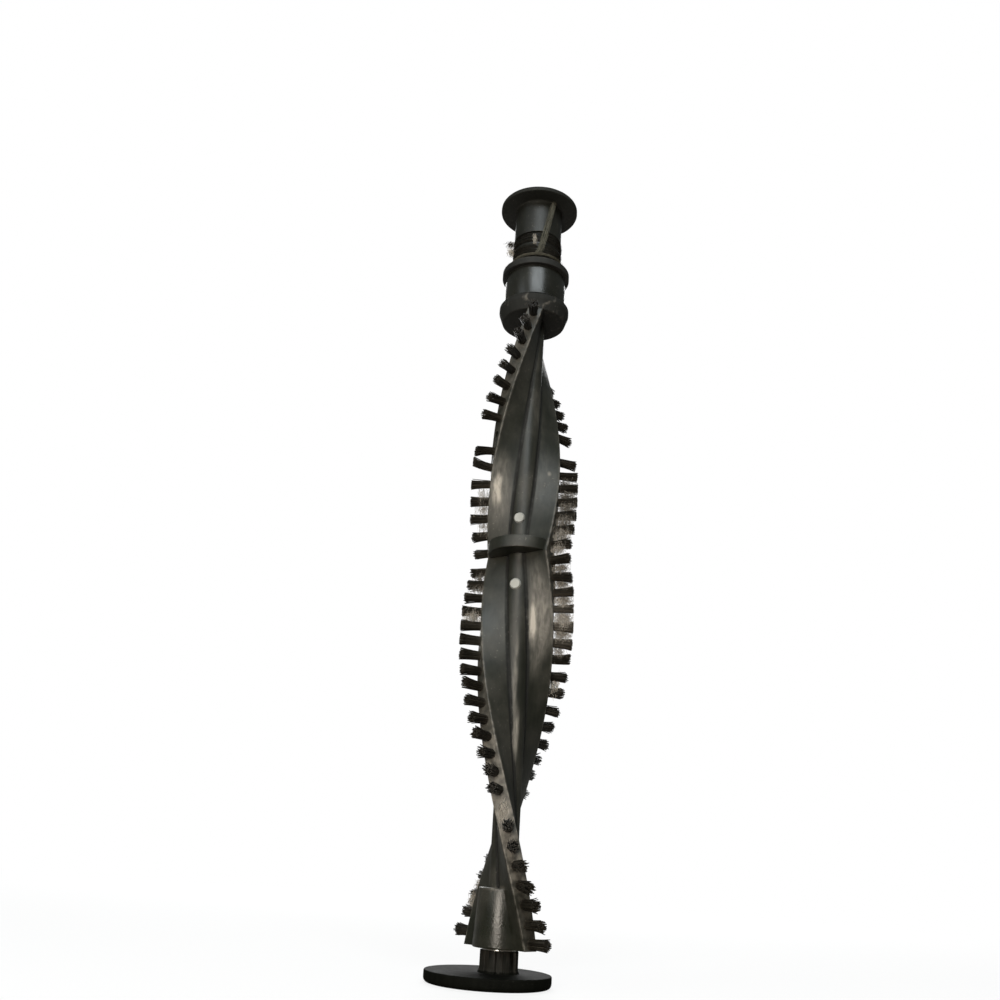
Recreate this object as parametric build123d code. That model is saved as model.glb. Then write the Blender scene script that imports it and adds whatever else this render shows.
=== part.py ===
from build123d import *

import math
import os
from collections import namedtuple

# Vacuum brush roll, standing on the outer face of its lower end plate.
# The roll axis is Z, z = 0 is that face, the front is -Y. Millimetres.

# Fits
PRESS_CLEARANCE = 0.02
RUNNING_CLEARANCE = 0.05
END_FLOAT = 0.1
CAP_GAP = 0.4

# Shaft
SHAFT_RADIUS = 3.0
SHAFT_END_GAP = 0.3
SHAFT_TAIL = 2.0
SHAFT_CHAMFER = 0.4

# Lower end cap: off-centre plate with a ribbed boss
PLATE_RADIUS = 20.9
PLATE_THICKNESS = 3.8
PLATE_OFFSET = -3.4
PLATE_ROUND = 1.8
PLATE_TOP_CHAMFER = 0.4
PLATE_FLOOR = 2.0
BOSS_RADIUS = 6.5
BOSS_HEIGHT = 6.6
BOSS_RIB_COUNT = 8
BOSS_RIB_WIDTH = 2.6
BOSS_RIB_DEPTH = 0.9

# Lower bush and thrust washer
BUSH_WALL = 1.2
BUSH_RECESS = 0.2
WASHER_RADIUS = 5.6
WASHER_THICKNESS = 0.6

# Brush halves: round core with two wings, twisted in opposite hands
CORE_RADIUS = 4.7
WING_TIP_RADIUS = 13.35
WING_THICKNESS = 6.2
WING_CHAMFER = 0.5
SEAM_ROW_ANGLE = -126.0
LOWER_LENGTH = 134.9
LOWER_LEAD = 279.0
UPPER_LENGTH = 108.3
UPPER_LEAD = 289.0
HUB_LENGTH = 18.2
HUB_END_RADIUS = 9.1
HUB_TOP_RADIUS = 7.9
SEAM_COLLAR_RADIUS = 12.5
SEAM_COLLAR_THICKNESS = 4.7
END_COLLAR_RADIUS = 14.45
END_COLLAR_THICKNESS = 2.2
END_TAPER_RADIUS = 12.9
END_TAPER_HEIGHT = 4.5

# Bristle tufts: six-sided bundles in sockets along each land
LOWER_TUFT_PITCH = 5.82
UPPER_TUFT_PITCH = 6.4
TUFT_FIRST = 3.0
TUFT_STAGGER = 1.7
TUFT_END_MARGIN = 2.1
TUFT_RADIUS = 1.6
TUFT_DEPTH = 5.0
TUFT_SIDES = 6
SWEEP_RADIUS = 21.0
LOWER_LEFT_LOST = (15,)
UPPER_LOST = (7,)

# Headed pins through core and shaft, one in each half
PIN_SHANK_RADIUS = 1.25
PIN_HEAD_RADIUS = 2.15
PIN_HEAD_HEIGHT = 0.9
PIN_HEAD_CHAMFER = 0.4
PIN_REACH = 1.4
LOWER_PIN_OFFSET = 12.0
UPPER_PIN_OFFSET = 14.1

# Drive pulley: narrow groove, crowned belt drum, ring flange, journal, bearing nose
GROOVE_RADIUS = 11.6
GROOVE_WIDTH = 1.5
DRUM_RADIUS = 12.4
DRUM_WIDTH = 13.3
DRUM_CROWN = 0.3
RING_RADIUS = 14.1
RING_THICKNESS = 2.9
RING_CHAMFER = 0.5
JOURNAL_RADIUS = 9.8
JOURNAL_LENGTH = 15.3
NOSE_RADIUS = 4.3
NOSE_LENGTH = 3.5
DOG_MID_RADIUS = 8.0
DOG_RADIAL = 3.0
DOG_WIDTH = 4.0
DOG_HEIGHT = 2.6

# Shielded bearing and its retaining clip
BEARING_RADIUS = 8.5
BEARING_WIDTH = 6.0
INNER_RACE_WALL = 1.6
OUTER_RACE_WALL = 1.7
SHIELD_THICKNESS = 0.3
SHIELD_INSET = 0.3
CLIP_THICKNESS = 0.7
CLIP_GROOVE_DEPTH = 0.5
CLIP_RADIUS = 5.2
CLIP_OPENING = 4.4

# Upper end cap: flanged sleeve round the bearing
CAP_WALL = 1.5
CAP_SHOULDER = 1.3
CAP_HEADROOM = 4.2
CAP_FLANGE_RADIUS = 16.55
CAP_FLANGE_THICKNESS = 2.0
CAP_FLANGE_CHAMFER = 0.5

# Heights along the axis that follow from the sizes above
BOSS_TOP = PLATE_THICKNESS + BOSS_HEIGHT
WASHER_Z = BOSS_TOP + END_FLOAT
HUB_Z = WASHER_Z + WASHER_THICKNESS
SEAM_Z = HUB_Z + LOWER_LENGTH
PULLEY_Z = SEAM_Z + UPPER_LENGTH
DRUM_Z = PULLEY_Z + GROOVE_WIDTH
RING_Z = DRUM_Z + DRUM_WIDTH
JOURNAL_Z = RING_Z + RING_THICKNESS
NOSE_Z = JOURNAL_Z + JOURNAL_LENGTH
BEARING_Z = NOSE_Z + NOSE_LENGTH
CLIP_Z = BEARING_Z + BEARING_WIDTH
SHAFT_BOTTOM = PLATE_FLOOR + SHAFT_END_GAP
SHAFT_TOP = CLIP_Z + CLIP_THICKNESS + SHAFT_TAIL
CAP_Z = NOSE_Z + CAP_GAP
CAP_FLANGE_Z = SHAFT_TOP + CAP_HEADROOM

# Radii that follow from the sizes above
BUSH_BORE = SHAFT_RADIUS + RUNNING_CLEARANCE
BUSH_RADIUS = BUSH_BORE + BUSH_WALL
FIXED_BORE = SHAFT_RADIUS + PRESS_CLEARANCE
INNER_RACE_RADIUS = FIXED_BORE + INNER_RACE_WALL
OUTER_RACE_BORE = BEARING_RADIUS - OUTER_RACE_WALL
BEARING_SEAT = BEARING_RADIUS + PRESS_CLEARANCE
CAP_RADIUS = BEARING_SEAT + CAP_WALL
SOCKET_RADIUS = TUFT_RADIUS + PRESS_CLEARANCE
SOCKET_FLOOR = WING_TIP_RADIUS - TUFT_DEPTH
PIN_HOLE_RADIUS = PIN_SHANK_RADIUS + PRESS_CLEARANCE
PIN_SEAT_RADIUS = PIN_HEAD_RADIUS + PRESS_CLEARANCE
PIN_SEAT = math.sqrt(CORE_RADIUS**2 - PIN_SEAT_RADIUS**2)

# Bristle rows of each half: left is the row at the seam's row angle, right is across from it
Row = namedtuple("Row", "length lead angle first pitch lost")
UPPER_WING_LENGTH = UPPER_LENGTH - END_COLLAR_THICKNESS
UPPER_LAND_LENGTH = UPPER_WING_LENGTH - END_TAPER_HEIGHT
STAGGERED_FIRST = TUFT_FIRST + TUFT_STAGGER
LOWER_ROWS = {
    "lower_bristle_row_left": Row(
        LOWER_LENGTH, LOWER_LEAD, 0, STAGGERED_FIRST, LOWER_TUFT_PITCH, LOWER_LEFT_LOST
    ),
    "lower_bristle_row_right": Row(LOWER_LENGTH, LOWER_LEAD, 180, TUFT_FIRST, LOWER_TUFT_PITCH, ()),
}
UPPER_ROWS = {
    "upper_bristle_row_left": Row(
        UPPER_LAND_LENGTH, UPPER_LEAD, 0, TUFT_FIRST, UPPER_TUFT_PITCH, UPPER_LOST
    ),
    "upper_bristle_row_right": Row(
        UPPER_LAND_LENGTH, UPPER_LEAD, 180, TUFT_FIRST, UPPER_TUFT_PITCH, UPPER_LOST
    ),
}


def disc(radius, z, height):
    """Solid cylinder on the axis, standing on height z."""
    return Pos(0, 0, z) * Cylinder(radius, height, align=(Align.CENTER, Align.CENTER, Align.MIN))


def sleeve(outer, inner, z, height):
    """Hollow cylinder on the axis, standing on height z."""
    return disc(outer, z, height) - disc(inner, z, height)


def turned(points):
    """Solid turned about the axis from a closed outline of (radius, z) corners."""
    return revolve(Plane.XZ * make_face(Polyline(*points, close=True)), Axis.Z)


def radial_plane(angle, z, distance):
    """Plane facing outwards at an angle from +X, a distance from the axis, its local X upwards."""
    outwards = Vector(1, 0, 0).rotate(Axis.Z, angle)
    return Plane(origin=outwards * distance + Vector(0, 0, z), x_dir=(0, 0, 1), z_dir=outwards)


def lower_end_cap():
    """Off-centre round plate with rounded outer edge, and a ribbed boss with a blind bore."""
    plate = Pos(PLATE_OFFSET, 0, 0) * disc(PLATE_RADIUS, 0, PLATE_THICKNESS)
    rim = plate.edges().filter_by(GeomType.CIRCLE).sort_by(Axis.Z)
    plate = fillet(rim[0], PLATE_ROUND)
    rim = plate.edges().filter_by(GeomType.CIRCLE).sort_by(Axis.Z)
    plate = chamfer(rim[-1], PLATE_TOP_CHAMFER)
    boss = disc(BOSS_RADIUS - BOSS_RIB_DEPTH, PLATE_THICKNESS, BOSS_HEIGHT)
    cap = plate + boss
    rib = Pos(0, 0, PLATE_THICKNESS) * Box(
        BOSS_RADIUS, BOSS_RIB_WIDTH, BOSS_HEIGHT, align=(Align.MIN, Align.CENTER, Align.MIN)
    )
    for index in range(BOSS_RIB_COUNT):
        cap += Rot(0, 0, (index + 0.5) * 360 / BOSS_RIB_COUNT) * rib
    return cap - disc(BUSH_RADIUS + PRESS_CLEARANCE, PLATE_FLOOR, BOSS_TOP)


def lower_bush():
    """Plain bearing sleeve standing on the floor of the boss's bore."""
    return sleeve(BUSH_RADIUS, BUSH_BORE, PLATE_FLOOR, BOSS_TOP - BUSH_RECESS - PLATE_FLOOR)


def lower_thrust_washer():
    """Flat washer under the hub."""
    return sleeve(WASHER_RADIUS, FIXED_BORE, WASHER_Z, WASHER_THICKNESS)


def wing_section():
    """Core circle with a wing each side along X, its four outer corners chamfered."""
    wings = Rectangle(2 * WING_TIP_RADIUS, WING_THICKNESS)
    wings = chamfer(wings.vertices(), WING_CHAMFER)
    return (wings + Circle(CORE_RADIUS)).face()


def twisted_body(length, lead):
    """Wing section carried up the axis from z = 0, turning right-handed."""
    turn = 360 * length / lead
    return Solid.extrude_linear_with_rotation(wing_section(), (0, 0, 0), (0, 0, length), turn)


def tuft_places(row):
    """Angle and height of each tuft of a row, measured from the seam end of its half."""
    count = int((row.length - row.first - TUFT_END_MARGIN) / row.pitch) + 1
    heights = [row.first + row.pitch * index for index in range(count)]
    return [(row.angle + 360 * height / row.lead, height) for height in heights]


def tuft(angle, z, radius, start, end):
    """Six-sided radial prism between two distances from the axis."""
    return extrude(radial_plane(angle, z, start) * RegularPolygon(radius, TUFT_SIDES), amount=end - start)


def tuft_row(row):
    """Tufts of one row, without those that are lost."""
    kept = [place for index, place in enumerate(tuft_places(row)) if index not in row.lost]
    return [tuft(angle, z, TUFT_RADIUS, SOCKET_FLOOR, SWEEP_RADIUS) for angle, z in kept]


def tuft_sockets(rows):
    """Cutters for the sockets of a half's rows."""
    places = [place for row in rows for place in tuft_places(row)]
    return [tuft(angle, z, SOCKET_RADIUS, SOCKET_FLOOR, SWEEP_RADIUS) for angle, z in places]


def pin_angle(offset, lead):
    """Angle square to the wings at a distance from the seam."""
    return 360 * offset / lead + 90


def half_pin(offset, lead):
    """Headed pin on its spot face, through the core and into the shaft."""
    shank_length = PIN_SEAT + PIN_REACH
    pin = disc(PIN_SHANK_RADIUS, -shank_length, shank_length) + disc(PIN_HEAD_RADIUS, 0, PIN_HEAD_HEIGHT)
    head_rim = pin.edges().filter_by(GeomType.CIRCLE).sort_by(Axis.Z)[-1]
    pin = chamfer(head_rim, PIN_HEAD_CHAMFER)
    return radial_plane(pin_angle(offset, lead), offset, PIN_SEAT).location * pin


def pin_hole(offset, lead):
    """Cutter for the pin's blind hole, from the spot face to just past the axis."""
    plane = radial_plane(pin_angle(offset, lead), offset, PIN_SEAT)
    return extrude(plane * Circle(PIN_HOLE_RADIUS), amount=-(PIN_SEAT + PIN_REACH + PRESS_CLEARANCE))


def pin_seat(offset, lead):
    """Cutter for the spot face under the pin's head."""
    plane = radial_plane(pin_angle(offset, lead), offset, PIN_SEAT)
    return extrude(plane * Circle(PIN_SEAT_RADIUS), amount=CORE_RADIUS)


def drilled(body, length, rows, lead, pin_offset):
    """A half's body with its bore, tuft sockets and pin hole, the seam at z = 0."""
    cutters = tuft_sockets(rows)
    cutters += [pin_hole(pin_offset, lead), pin_seat(pin_offset, lead)]
    cutters.append(disc(FIXED_BORE, 0, length))
    return body - cutters


def lower_half_shape():
    """Lower half in its own frame: seam at z = 0, conical hub at the far end."""
    hub = Pos(0, 0, LOWER_LENGTH - HUB_LENGTH) * Cone(
        HUB_TOP_RADIUS, HUB_END_RADIUS, HUB_LENGTH, align=(Align.CENTER, Align.CENTER, Align.MIN)
    )
    body = twisted_body(LOWER_LENGTH, LOWER_LEAD) + hub
    return drilled(body, LOWER_LENGTH, LOWER_ROWS.values(), LOWER_LEAD, LOWER_PIN_OFFSET)


def dog(clearance):
    """Drive dog on +X at z = 0, pointing down, grown all round by a clearance."""
    return Pos(DOG_MID_RADIUS, 0, 0) * Box(
        DOG_RADIAL + 2 * clearance,
        DOG_WIDTH + 2 * clearance,
        DOG_HEIGHT + clearance,
        align=(Align.CENTER, Align.CENTER, Align.MAX),
    )


def dog_pair(clearance):
    """The two drive dogs, in line with the wings at the top of the upper half."""
    end_angle = 360 * UPPER_WING_LENGTH / UPPER_LEAD
    return [Rot(0, 0, end_angle + row) * dog(clearance) for row in (0, 180)]


def upper_half_shape():
    """Upper half in its own frame: seam collar at z = 0, tapered end collar with dog pockets at the top."""
    taper = Pos(0, 0, UPPER_WING_LENGTH - END_TAPER_HEIGHT) * Cone(
        END_TAPER_RADIUS, END_COLLAR_RADIUS, END_TAPER_HEIGHT, align=(Align.CENTER, Align.CENTER, Align.MIN)
    )
    body = twisted_body(UPPER_WING_LENGTH, UPPER_LEAD)
    body += disc(SEAM_COLLAR_RADIUS, 0, SEAM_COLLAR_THICKNESS)
    body += taper + disc(END_COLLAR_RADIUS, UPPER_WING_LENGTH, END_COLLAR_THICKNESS)
    body = drilled(body, UPPER_LENGTH, UPPER_ROWS.values(), UPPER_LEAD, UPPER_PIN_OFFSET)
    return body - [Pos(0, 0, UPPER_LENGTH) * pocket for pocket in dog_pair(END_FLOAT)]


def at_seam(shapes, below):
    """Shapes from a half's own frame to the roll: turned to the row angle, mirrored if below the seam."""
    place = Pos(0, 0, SEAM_Z) * Rot(0, 0, SEAM_ROW_ANGLE - 90)
    return [place * (mirror(shape, about=Plane.XY) if below else shape) for shape in shapes]


def axle_shaft():
    """Round shaft with chamfered ends, pin holes and a clip groove."""
    shaft = disc(SHAFT_RADIUS, SHAFT_BOTTOM, SHAFT_TOP - SHAFT_BOTTOM)
    shaft = chamfer(shaft.edges().filter_by(GeomType.CIRCLE), SHAFT_CHAMFER)
    holes = at_seam([pin_hole(LOWER_PIN_OFFSET, LOWER_LEAD)], below=True)
    holes += at_seam([pin_hole(UPPER_PIN_OFFSET, UPPER_LEAD)], below=False)
    groove_floor = SHAFT_RADIUS - CLIP_GROOVE_DEPTH
    groove = sleeve(CLIP_RADIUS, groove_floor, CLIP_Z, CLIP_THICKNESS + PRESS_CLEARANCE)
    return shaft - [*holes, groove]


def drive_pulley():
    """Groove, crowned drum, ring flange, journal and bearing nose, with two drive dogs below."""
    drum_top = DRUM_Z + DRUM_WIDTH
    crown = (DRUM_RADIUS + DRUM_CROWN, DRUM_Z + DRUM_WIDTH / 2)
    outline = [
        Polyline(
            (DRUM_RADIUS, DRUM_Z),
            (GROOVE_RADIUS, DRUM_Z),
            (GROOVE_RADIUS, PULLEY_Z),
            (FIXED_BORE, PULLEY_Z),
            (FIXED_BORE, BEARING_Z),
            (NOSE_RADIUS, BEARING_Z),
            (NOSE_RADIUS, NOSE_Z),
            (JOURNAL_RADIUS, NOSE_Z),
            (JOURNAL_RADIUS, JOURNAL_Z),
            (RING_RADIUS - RING_CHAMFER, JOURNAL_Z),
            (RING_RADIUS, JOURNAL_Z - RING_CHAMFER),
            (RING_RADIUS, RING_Z),
            (DRUM_RADIUS, RING_Z),
        ),
        ThreePointArc((DRUM_RADIUS, drum_top), crown, (DRUM_RADIUS, DRUM_Z)),
    ]
    pulley = revolve(Plane.XZ * make_face(outline), Axis.Z)
    place = Pos(0, 0, PULLEY_Z) * Rot(0, 0, SEAM_ROW_ANGLE - 90)
    for lug in dog_pair(0):
        pulley += place * lug
    return pulley


def bearing_inner_ring():
    """Inner ring, clamped between the pulley's nose and the clip."""
    return sleeve(INNER_RACE_RADIUS, FIXED_BORE, BEARING_Z, BEARING_WIDTH)


def bearing_outer_ring():
    """Outer ring, pressed into the upper end cap."""
    return sleeve(BEARING_RADIUS, OUTER_RACE_BORE, BEARING_Z, BEARING_WIDTH)


def bearing_shield(z):
    """Thin shield in the outer ring, clear of the inner ring."""
    inner = INNER_RACE_RADIUS + RUNNING_CLEARANCE
    return sleeve(OUTER_RACE_BORE - PRESS_CLEARANCE, inner, z, SHIELD_THICKNESS)


def shaft_clip():
    """Open clip in the shaft's groove, on top of the inner ring."""
    inner = SHAFT_RADIUS - CLIP_GROOVE_DEPTH + PRESS_CLEARANCE
    opening = Pos(0, 0, CLIP_Z) * Box(
        CLIP_RADIUS, CLIP_OPENING, CLIP_THICKNESS, align=(Align.MIN, Align.CENTER, Align.MIN)
    )
    return sleeve(CLIP_RADIUS, inner, CLIP_Z, CLIP_THICKNESS) - opening


def upper_end_cap():
    """Sleeve with a bearing seat and shoulder, closed by a chamfered flange."""
    top = CAP_FLANGE_Z + CAP_FLANGE_THICKNESS
    shoulder_bore = BEARING_RADIUS - CAP_SHOULDER
    rim = CAP_FLANGE_RADIUS - CAP_FLANGE_CHAMFER
    return turned(
        [
            (CAP_RADIUS, CAP_Z),
            (BEARING_SEAT, CAP_Z),
            (BEARING_SEAT, CLIP_Z),
            (shoulder_bore, CLIP_Z),
            (shoulder_bore, CAP_FLANGE_Z),
            (0, CAP_FLANGE_Z),
            (0, top),
            (rim, top),
            (CAP_FLANGE_RADIUS, top - CAP_FLANGE_CHAMFER),
            (CAP_FLANGE_RADIUS, CAP_FLANGE_Z),
            (CAP_RADIUS, CAP_FLANGE_Z),
        ]
    )


def brush_pieces():
    """Both halves, their pins and their four bristle rows, by node name."""
    pieces = {
        "lower_brush_half": [lower_half_shape()],
        "upper_brush_half": [upper_half_shape()],
        "lower_half_pin": [half_pin(LOWER_PIN_OFFSET, LOWER_LEAD)],
        "upper_half_pin": [half_pin(UPPER_PIN_OFFSET, UPPER_LEAD)],
    }
    for name, row in {**LOWER_ROWS, **UPPER_ROWS}.items():
        pieces[name] = tuft_row(row)
    return {name: at_seam(shapes, name.startswith("lower")) for name, shapes in pieces.items()}


def all_pieces():
    """Every piece of the roll, by node name."""
    upper_shield_z = CLIP_Z - SHIELD_INSET - SHIELD_THICKNESS
    pieces = brush_pieces()
    pieces.update(
        lower_end_cap=[lower_end_cap()],
        lower_bush=[lower_bush()],
        lower_thrust_washer=[lower_thrust_washer()],
        axle_shaft=[axle_shaft()],
        drive_pulley=[drive_pulley()],
        bearing_inner_ring=[bearing_inner_ring()],
        bearing_outer_ring=[bearing_outer_ring()],
        bearing_shield_lower=[bearing_shield(BEARING_Z + SHIELD_INSET)],
        bearing_shield_upper=[bearing_shield(upper_shield_z)],
        shaft_clip=[shaft_clip()],
        upper_end_cap=[upper_end_cap()],
    )
    return pieces


def main():
    """Write one STEP file for each piece."""
    os.makedirs("parts", exist_ok=True)
    for name, shapes in all_pieces().items():
        solids = [solid for shape in shapes for solid in shape.solids()]
        export_step(Compound(solids) if len(solids) > 1 else solids[0], f"parts/{name}.step")


main()
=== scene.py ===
"""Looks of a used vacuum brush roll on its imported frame. Metres, +Z up along the roll, front towards -Y."""

import logging
import math
from collections.abc import Mapping, Sequence
from dataclasses import dataclass
from enum import Enum
from typing import Any

import bmesh
import bpy
import numpy as np
from mathutils import Matrix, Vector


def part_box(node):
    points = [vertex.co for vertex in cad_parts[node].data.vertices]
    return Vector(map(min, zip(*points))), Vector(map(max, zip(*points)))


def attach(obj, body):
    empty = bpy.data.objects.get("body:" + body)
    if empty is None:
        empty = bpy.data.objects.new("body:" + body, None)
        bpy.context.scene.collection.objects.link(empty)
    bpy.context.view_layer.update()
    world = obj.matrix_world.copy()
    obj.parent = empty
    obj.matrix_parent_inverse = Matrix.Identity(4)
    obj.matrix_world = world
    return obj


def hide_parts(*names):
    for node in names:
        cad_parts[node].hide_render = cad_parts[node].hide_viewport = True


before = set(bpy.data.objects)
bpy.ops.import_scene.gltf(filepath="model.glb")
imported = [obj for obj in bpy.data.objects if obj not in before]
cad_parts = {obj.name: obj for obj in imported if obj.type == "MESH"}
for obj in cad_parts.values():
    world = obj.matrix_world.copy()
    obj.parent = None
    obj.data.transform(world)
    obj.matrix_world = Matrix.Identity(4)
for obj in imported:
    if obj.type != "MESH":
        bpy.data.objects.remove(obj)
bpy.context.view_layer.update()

LOG = logging.getLogger("brush_roll")
MM = 0.001
MERGE_DISTANCE = 1e-7
TUFT_GAP = 2.1 * MM
SMOOTH_ANGLE = math.radians(38)
WHITE = (1.0, 1.0, 1.0, 1.0)
# Painted shade: the dark colour that the creases, the end collar's underside and the pulley ring's face are
# blended towards.
SHADE_COLOUR = (0.004, 0.004, 0.003, 1.0)
UP = np.array([0.0, 0.0, 1.0])
ACROSS = np.array([1.0, 0.0, 0.0])

# Sizes that several pieces or finishes share, in mm

WING_REACH = 13.35
WING_THICKNESS = 6.2
CORE_RADIUS = 4.7
SHAFT_BORE = 3.02
HUB_LENGTH = 18.2
END_COLLAR_LENGTH = 6.7
END_COLLAR_RIM = 2.2
DRUM_WIDTH = 13.3
RING_THICKNESS = 2.9
JOURNAL_RADIUS = 9.8
JOURNAL_LENGTH = 15.3
NOSE_LENGTH = 3.5
FLANGE_THICKNESS = 2.0

Array = np.ndarray
Colour = tuple[float, float, float]
Value = Any


class Body(Enum):
    """The CAD bodies that pieces ride on."""

    LOWER_CAP = "lower_cap"
    ROLL = "roll"
    UPPER_CAP = "upper_cap"


class Slot(Enum):
    """Names for material slots; nothing in this script uses them."""

    BODY = "body_plastic"
    CAP = "cap_plastic"
    PULLEY = "pulley_plastic"
    BRISTLE = "bristle_nylon"
    STEEL = "bright_steel"
    BEARING = "bearing_steel"
    BRONZE = "bronze"


class Solid(Enum):
    """Ways of combining two closed meshes."""

    JOIN = "UNION"
    CUT = "DIFFERENCE"


class TuftWear(Enum):
    """How a tuft has suffered: thinned out, or pressed down or up along the roll."""

    SPARSE = "sparse"
    BENT_DOWN = "bent down"
    BENT_UP = "bent up"


# Shader arithmetic


class Signal:
    """A shader value: one output socket, whose arithmetic adds Math nodes."""

    def __init__(self, graph: "Graph", socket: bpy.types.NodeSocket) -> None:
        """Wrap a socket of a graph."""
        self.graph = graph
        self.socket = socket

    def math(self, operation: str, first: Value, second: Value = 0.0) -> "Signal":
        """A Math node on two values, each a Signal or a number."""
        return self.graph.add("ShaderNodeMath", {"operation": operation}, {0: first, 1: second})

    def __add__(self, other: Value) -> "Signal":
        """This plus other."""
        return self.math("ADD", self, other)

    __radd__ = __add__

    def __sub__(self, other: Value) -> "Signal":
        """This minus other."""
        return self.math("SUBTRACT", self, other)

    def __rsub__(self, other: Value) -> "Signal":
        """Other minus this."""
        return self.math("SUBTRACT", other, self)

    def __mul__(self, other: Value) -> "Signal":
        """This times other."""
        return self.math("MULTIPLY", self, other)

    __rmul__ = __mul__

    def __truediv__(self, other: Value) -> "Signal":
        """This divided by other."""
        return self.math("DIVIDE", self, other)

    def __rtruediv__(self, other: Value) -> "Signal":
        """Other divided by this."""
        return self.math("DIVIDE", other, self)

    def __pow__(self, other: Value) -> "Signal":
        """This to the power of other."""
        return self.math("POWER", self, other)

    def __abs__(self) -> "Signal":
        """Size of this without its sign."""
        return self.math("ABSOLUTE", self)

    def most(self, other: Value) -> "Signal":
        """The larger of this and other."""
        return self.math("MAXIMUM", self, other)

    def least(self, other: Value) -> "Signal":
        """The smaller of this and other."""
        return self.math("MINIMUM", self, other)

    def ease(self, low: float, high: float) -> "Signal":
        """Smooth step: 0 at low, 1 at high. With low above high it falls instead."""
        start, end = (0.0, 1.0) if low < high else (1.0, 0.0)
        limits = {1: min(low, high), 2: max(low, high), 3: start, 4: end}
        return self.graph.add("ShaderNodeMapRange", {"interpolation_type": "SMOOTHSTEP"}, {0: self, **limits})

    def band(self, low: float, high: float, soft: float) -> "Signal":
        """1 between low and high, falling to 0 within soft outside them."""
        return self.ease(low - soft, low) * self.ease(high + soft, high)


class Graph:
    """The nodes of one shader tree."""

    def __init__(self, tree: bpy.types.NodeTree) -> None:
        """Start from an empty tree."""
        self.tree = tree
        tree.nodes.clear()

    def add(
        self,
        kind: str,
        settings: Mapping[str, Any] | None = None,
        inputs: Mapping[int | str, Value] | None = None,
        output: int | str = 0,
    ) -> Signal:
        """Add any node.

        Args:
            kind: the node's type.
            settings: properties that are set first.
            inputs: numbers, colours or Signals for its sockets, by name or index.
            output: which of its outputs is wanted.

        Returns:
            That output.
        """
        node = self.tree.nodes.new(kind)
        for key, value in (settings or {}).items():
            setattr(node, key, value)
        for key, value in (inputs or {}).items():
            if isinstance(value, Signal):
                self.tree.links.new(value.socket, node.inputs[key])
            else:
                node.inputs[key].default_value = value
        return Signal(self, node.outputs[output])

    def place(self) -> Signal:
        """Object coordinates."""
        return self.add("ShaderNodeTexCoord", output="Object")

    def parts(self, vector: Signal) -> tuple[Signal, Signal, Signal]:
        """The x, y and z of a vector."""
        first = self.add("ShaderNodeSeparateXYZ", inputs={0: vector})
        return tuple(Signal(self, output) for output in first.socket.node.outputs)

    def noise(self, place: Signal, scale: float, detail: float = 3.0, stretch: Colour = (1, 1, 1)) -> Signal:
        """Cloudy noise around one half, with features 1 / scale metres wide, stretched along an axis."""
        moved = self.add("ShaderNodeVectorMath", {"operation": "MULTIPLY"}, {0: place, 1: stretch})
        return self.add("ShaderNodeTexNoise", inputs={"Vector": moved, "Scale": scale, "Detail": detail})

    def blend(self, first: Value, second: Value, factor: Value) -> Signal:
        """Colour that goes from first to second with the factor."""
        colours = {0: factor, 6: first, 7: second}
        return self.add("ShaderNodeMix", {"data_type": "RGBA"}, colours, output=2)

    def length(self, vector: Signal) -> Signal:
        """Length of a vector."""
        return self.add("ShaderNodeVectorMath", {"operation": "LENGTH"}, {0: vector}, output="Value")

    def bump(self, height: Signal, depth: float) -> Signal:
        """Surface normal disturbed by a height of 0 to 1, scaled to a depth in metres."""
        return self.add("ShaderNodeBump", inputs={"Strength": 1.0, "Distance": depth, "Height": height})

    def attribute(self, name: str) -> Signal:
        """A number stored on the piece's points."""
        return self.add("ShaderNodeAttribute", {"attribute_name": name}, output="Fac")

    def output(self, shader: Signal, kind: str = "ShaderNodeOutputMaterial") -> None:
        """Send a shader to the tree's output."""
        node = self.tree.nodes.new(kind)
        self.tree.links.new(shader.socket, node.inputs["Surface"])


def rgba(colour: Colour, factor: float = 1.0) -> tuple[float, float, float, float]:
    """A colour times a factor, with full opacity."""
    return (*(channel * factor for channel in colour), 1.0)


# Finishes


@dataclass(frozen=True)
class Finish:
    """A surface finish, made into a material once."""

    name: str
    colour: Colour
    roughness: float = 0.5
    metallic: float = 0.0
    specular: float = 0.4

    def material(self) -> bpy.types.Material:
        """The material with this finish."""
        found = bpy.data.materials.get(self.name)
        if found is not None:
            return found
        material = bpy.data.materials.new(self.name)
        material.use_nodes = True
        graph = Graph(material.node_tree)
        steady = {"Metallic": self.metallic, "Specular IOR Level": self.specular}
        graph.output(graph.add("ShaderNodeBsdfPrincipled", inputs={**steady, **self.sockets(graph)}))
        material.diffuse_color = rgba(self.colour)
        return material

    def sockets(self, graph: Graph) -> dict[str, Value]:
        """Values of the sockets that vary over the surface."""
        place = graph.place()
        cloud = graph.noise(place, 140.0)
        grain = graph.noise(place, 2200.0, 2.0)
        return {
            "Base Color": graph.blend(rgba(self.colour, 0.72), rgba(self.colour), cloud.ease(0.3, 0.7)),
            "Roughness": self.roughness + (cloud - 0.5) * 0.25,
            "Normal": graph.bump(grain, 0.01 * MM),
        }


@dataclass(frozen=True)
class DustAndLightPatch:
    """A soft spot of dust colour, used for real dust and for painted light: its middle and half sizes in the
    part's frame, and its strength.
    """

    middle: Colour
    size: Colour
    strength: float

    def mask(self, graph: Graph, place: Signal) -> Signal:
        """Strength at the middle, easing to 0 where the scaled distance from it reaches 1."""
        steps = (("SUBTRACT", self.middle), ("DIVIDE", self.size))
        for operation, numbers in steps:
            metres = tuple(number * MM for number in numbers)
            place = graph.add("ShaderNodeVectorMath", {"operation": operation}, {0: place, 1: metres})
        return graph.length(place).ease(1.0, 0.1) * self.strength


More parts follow.
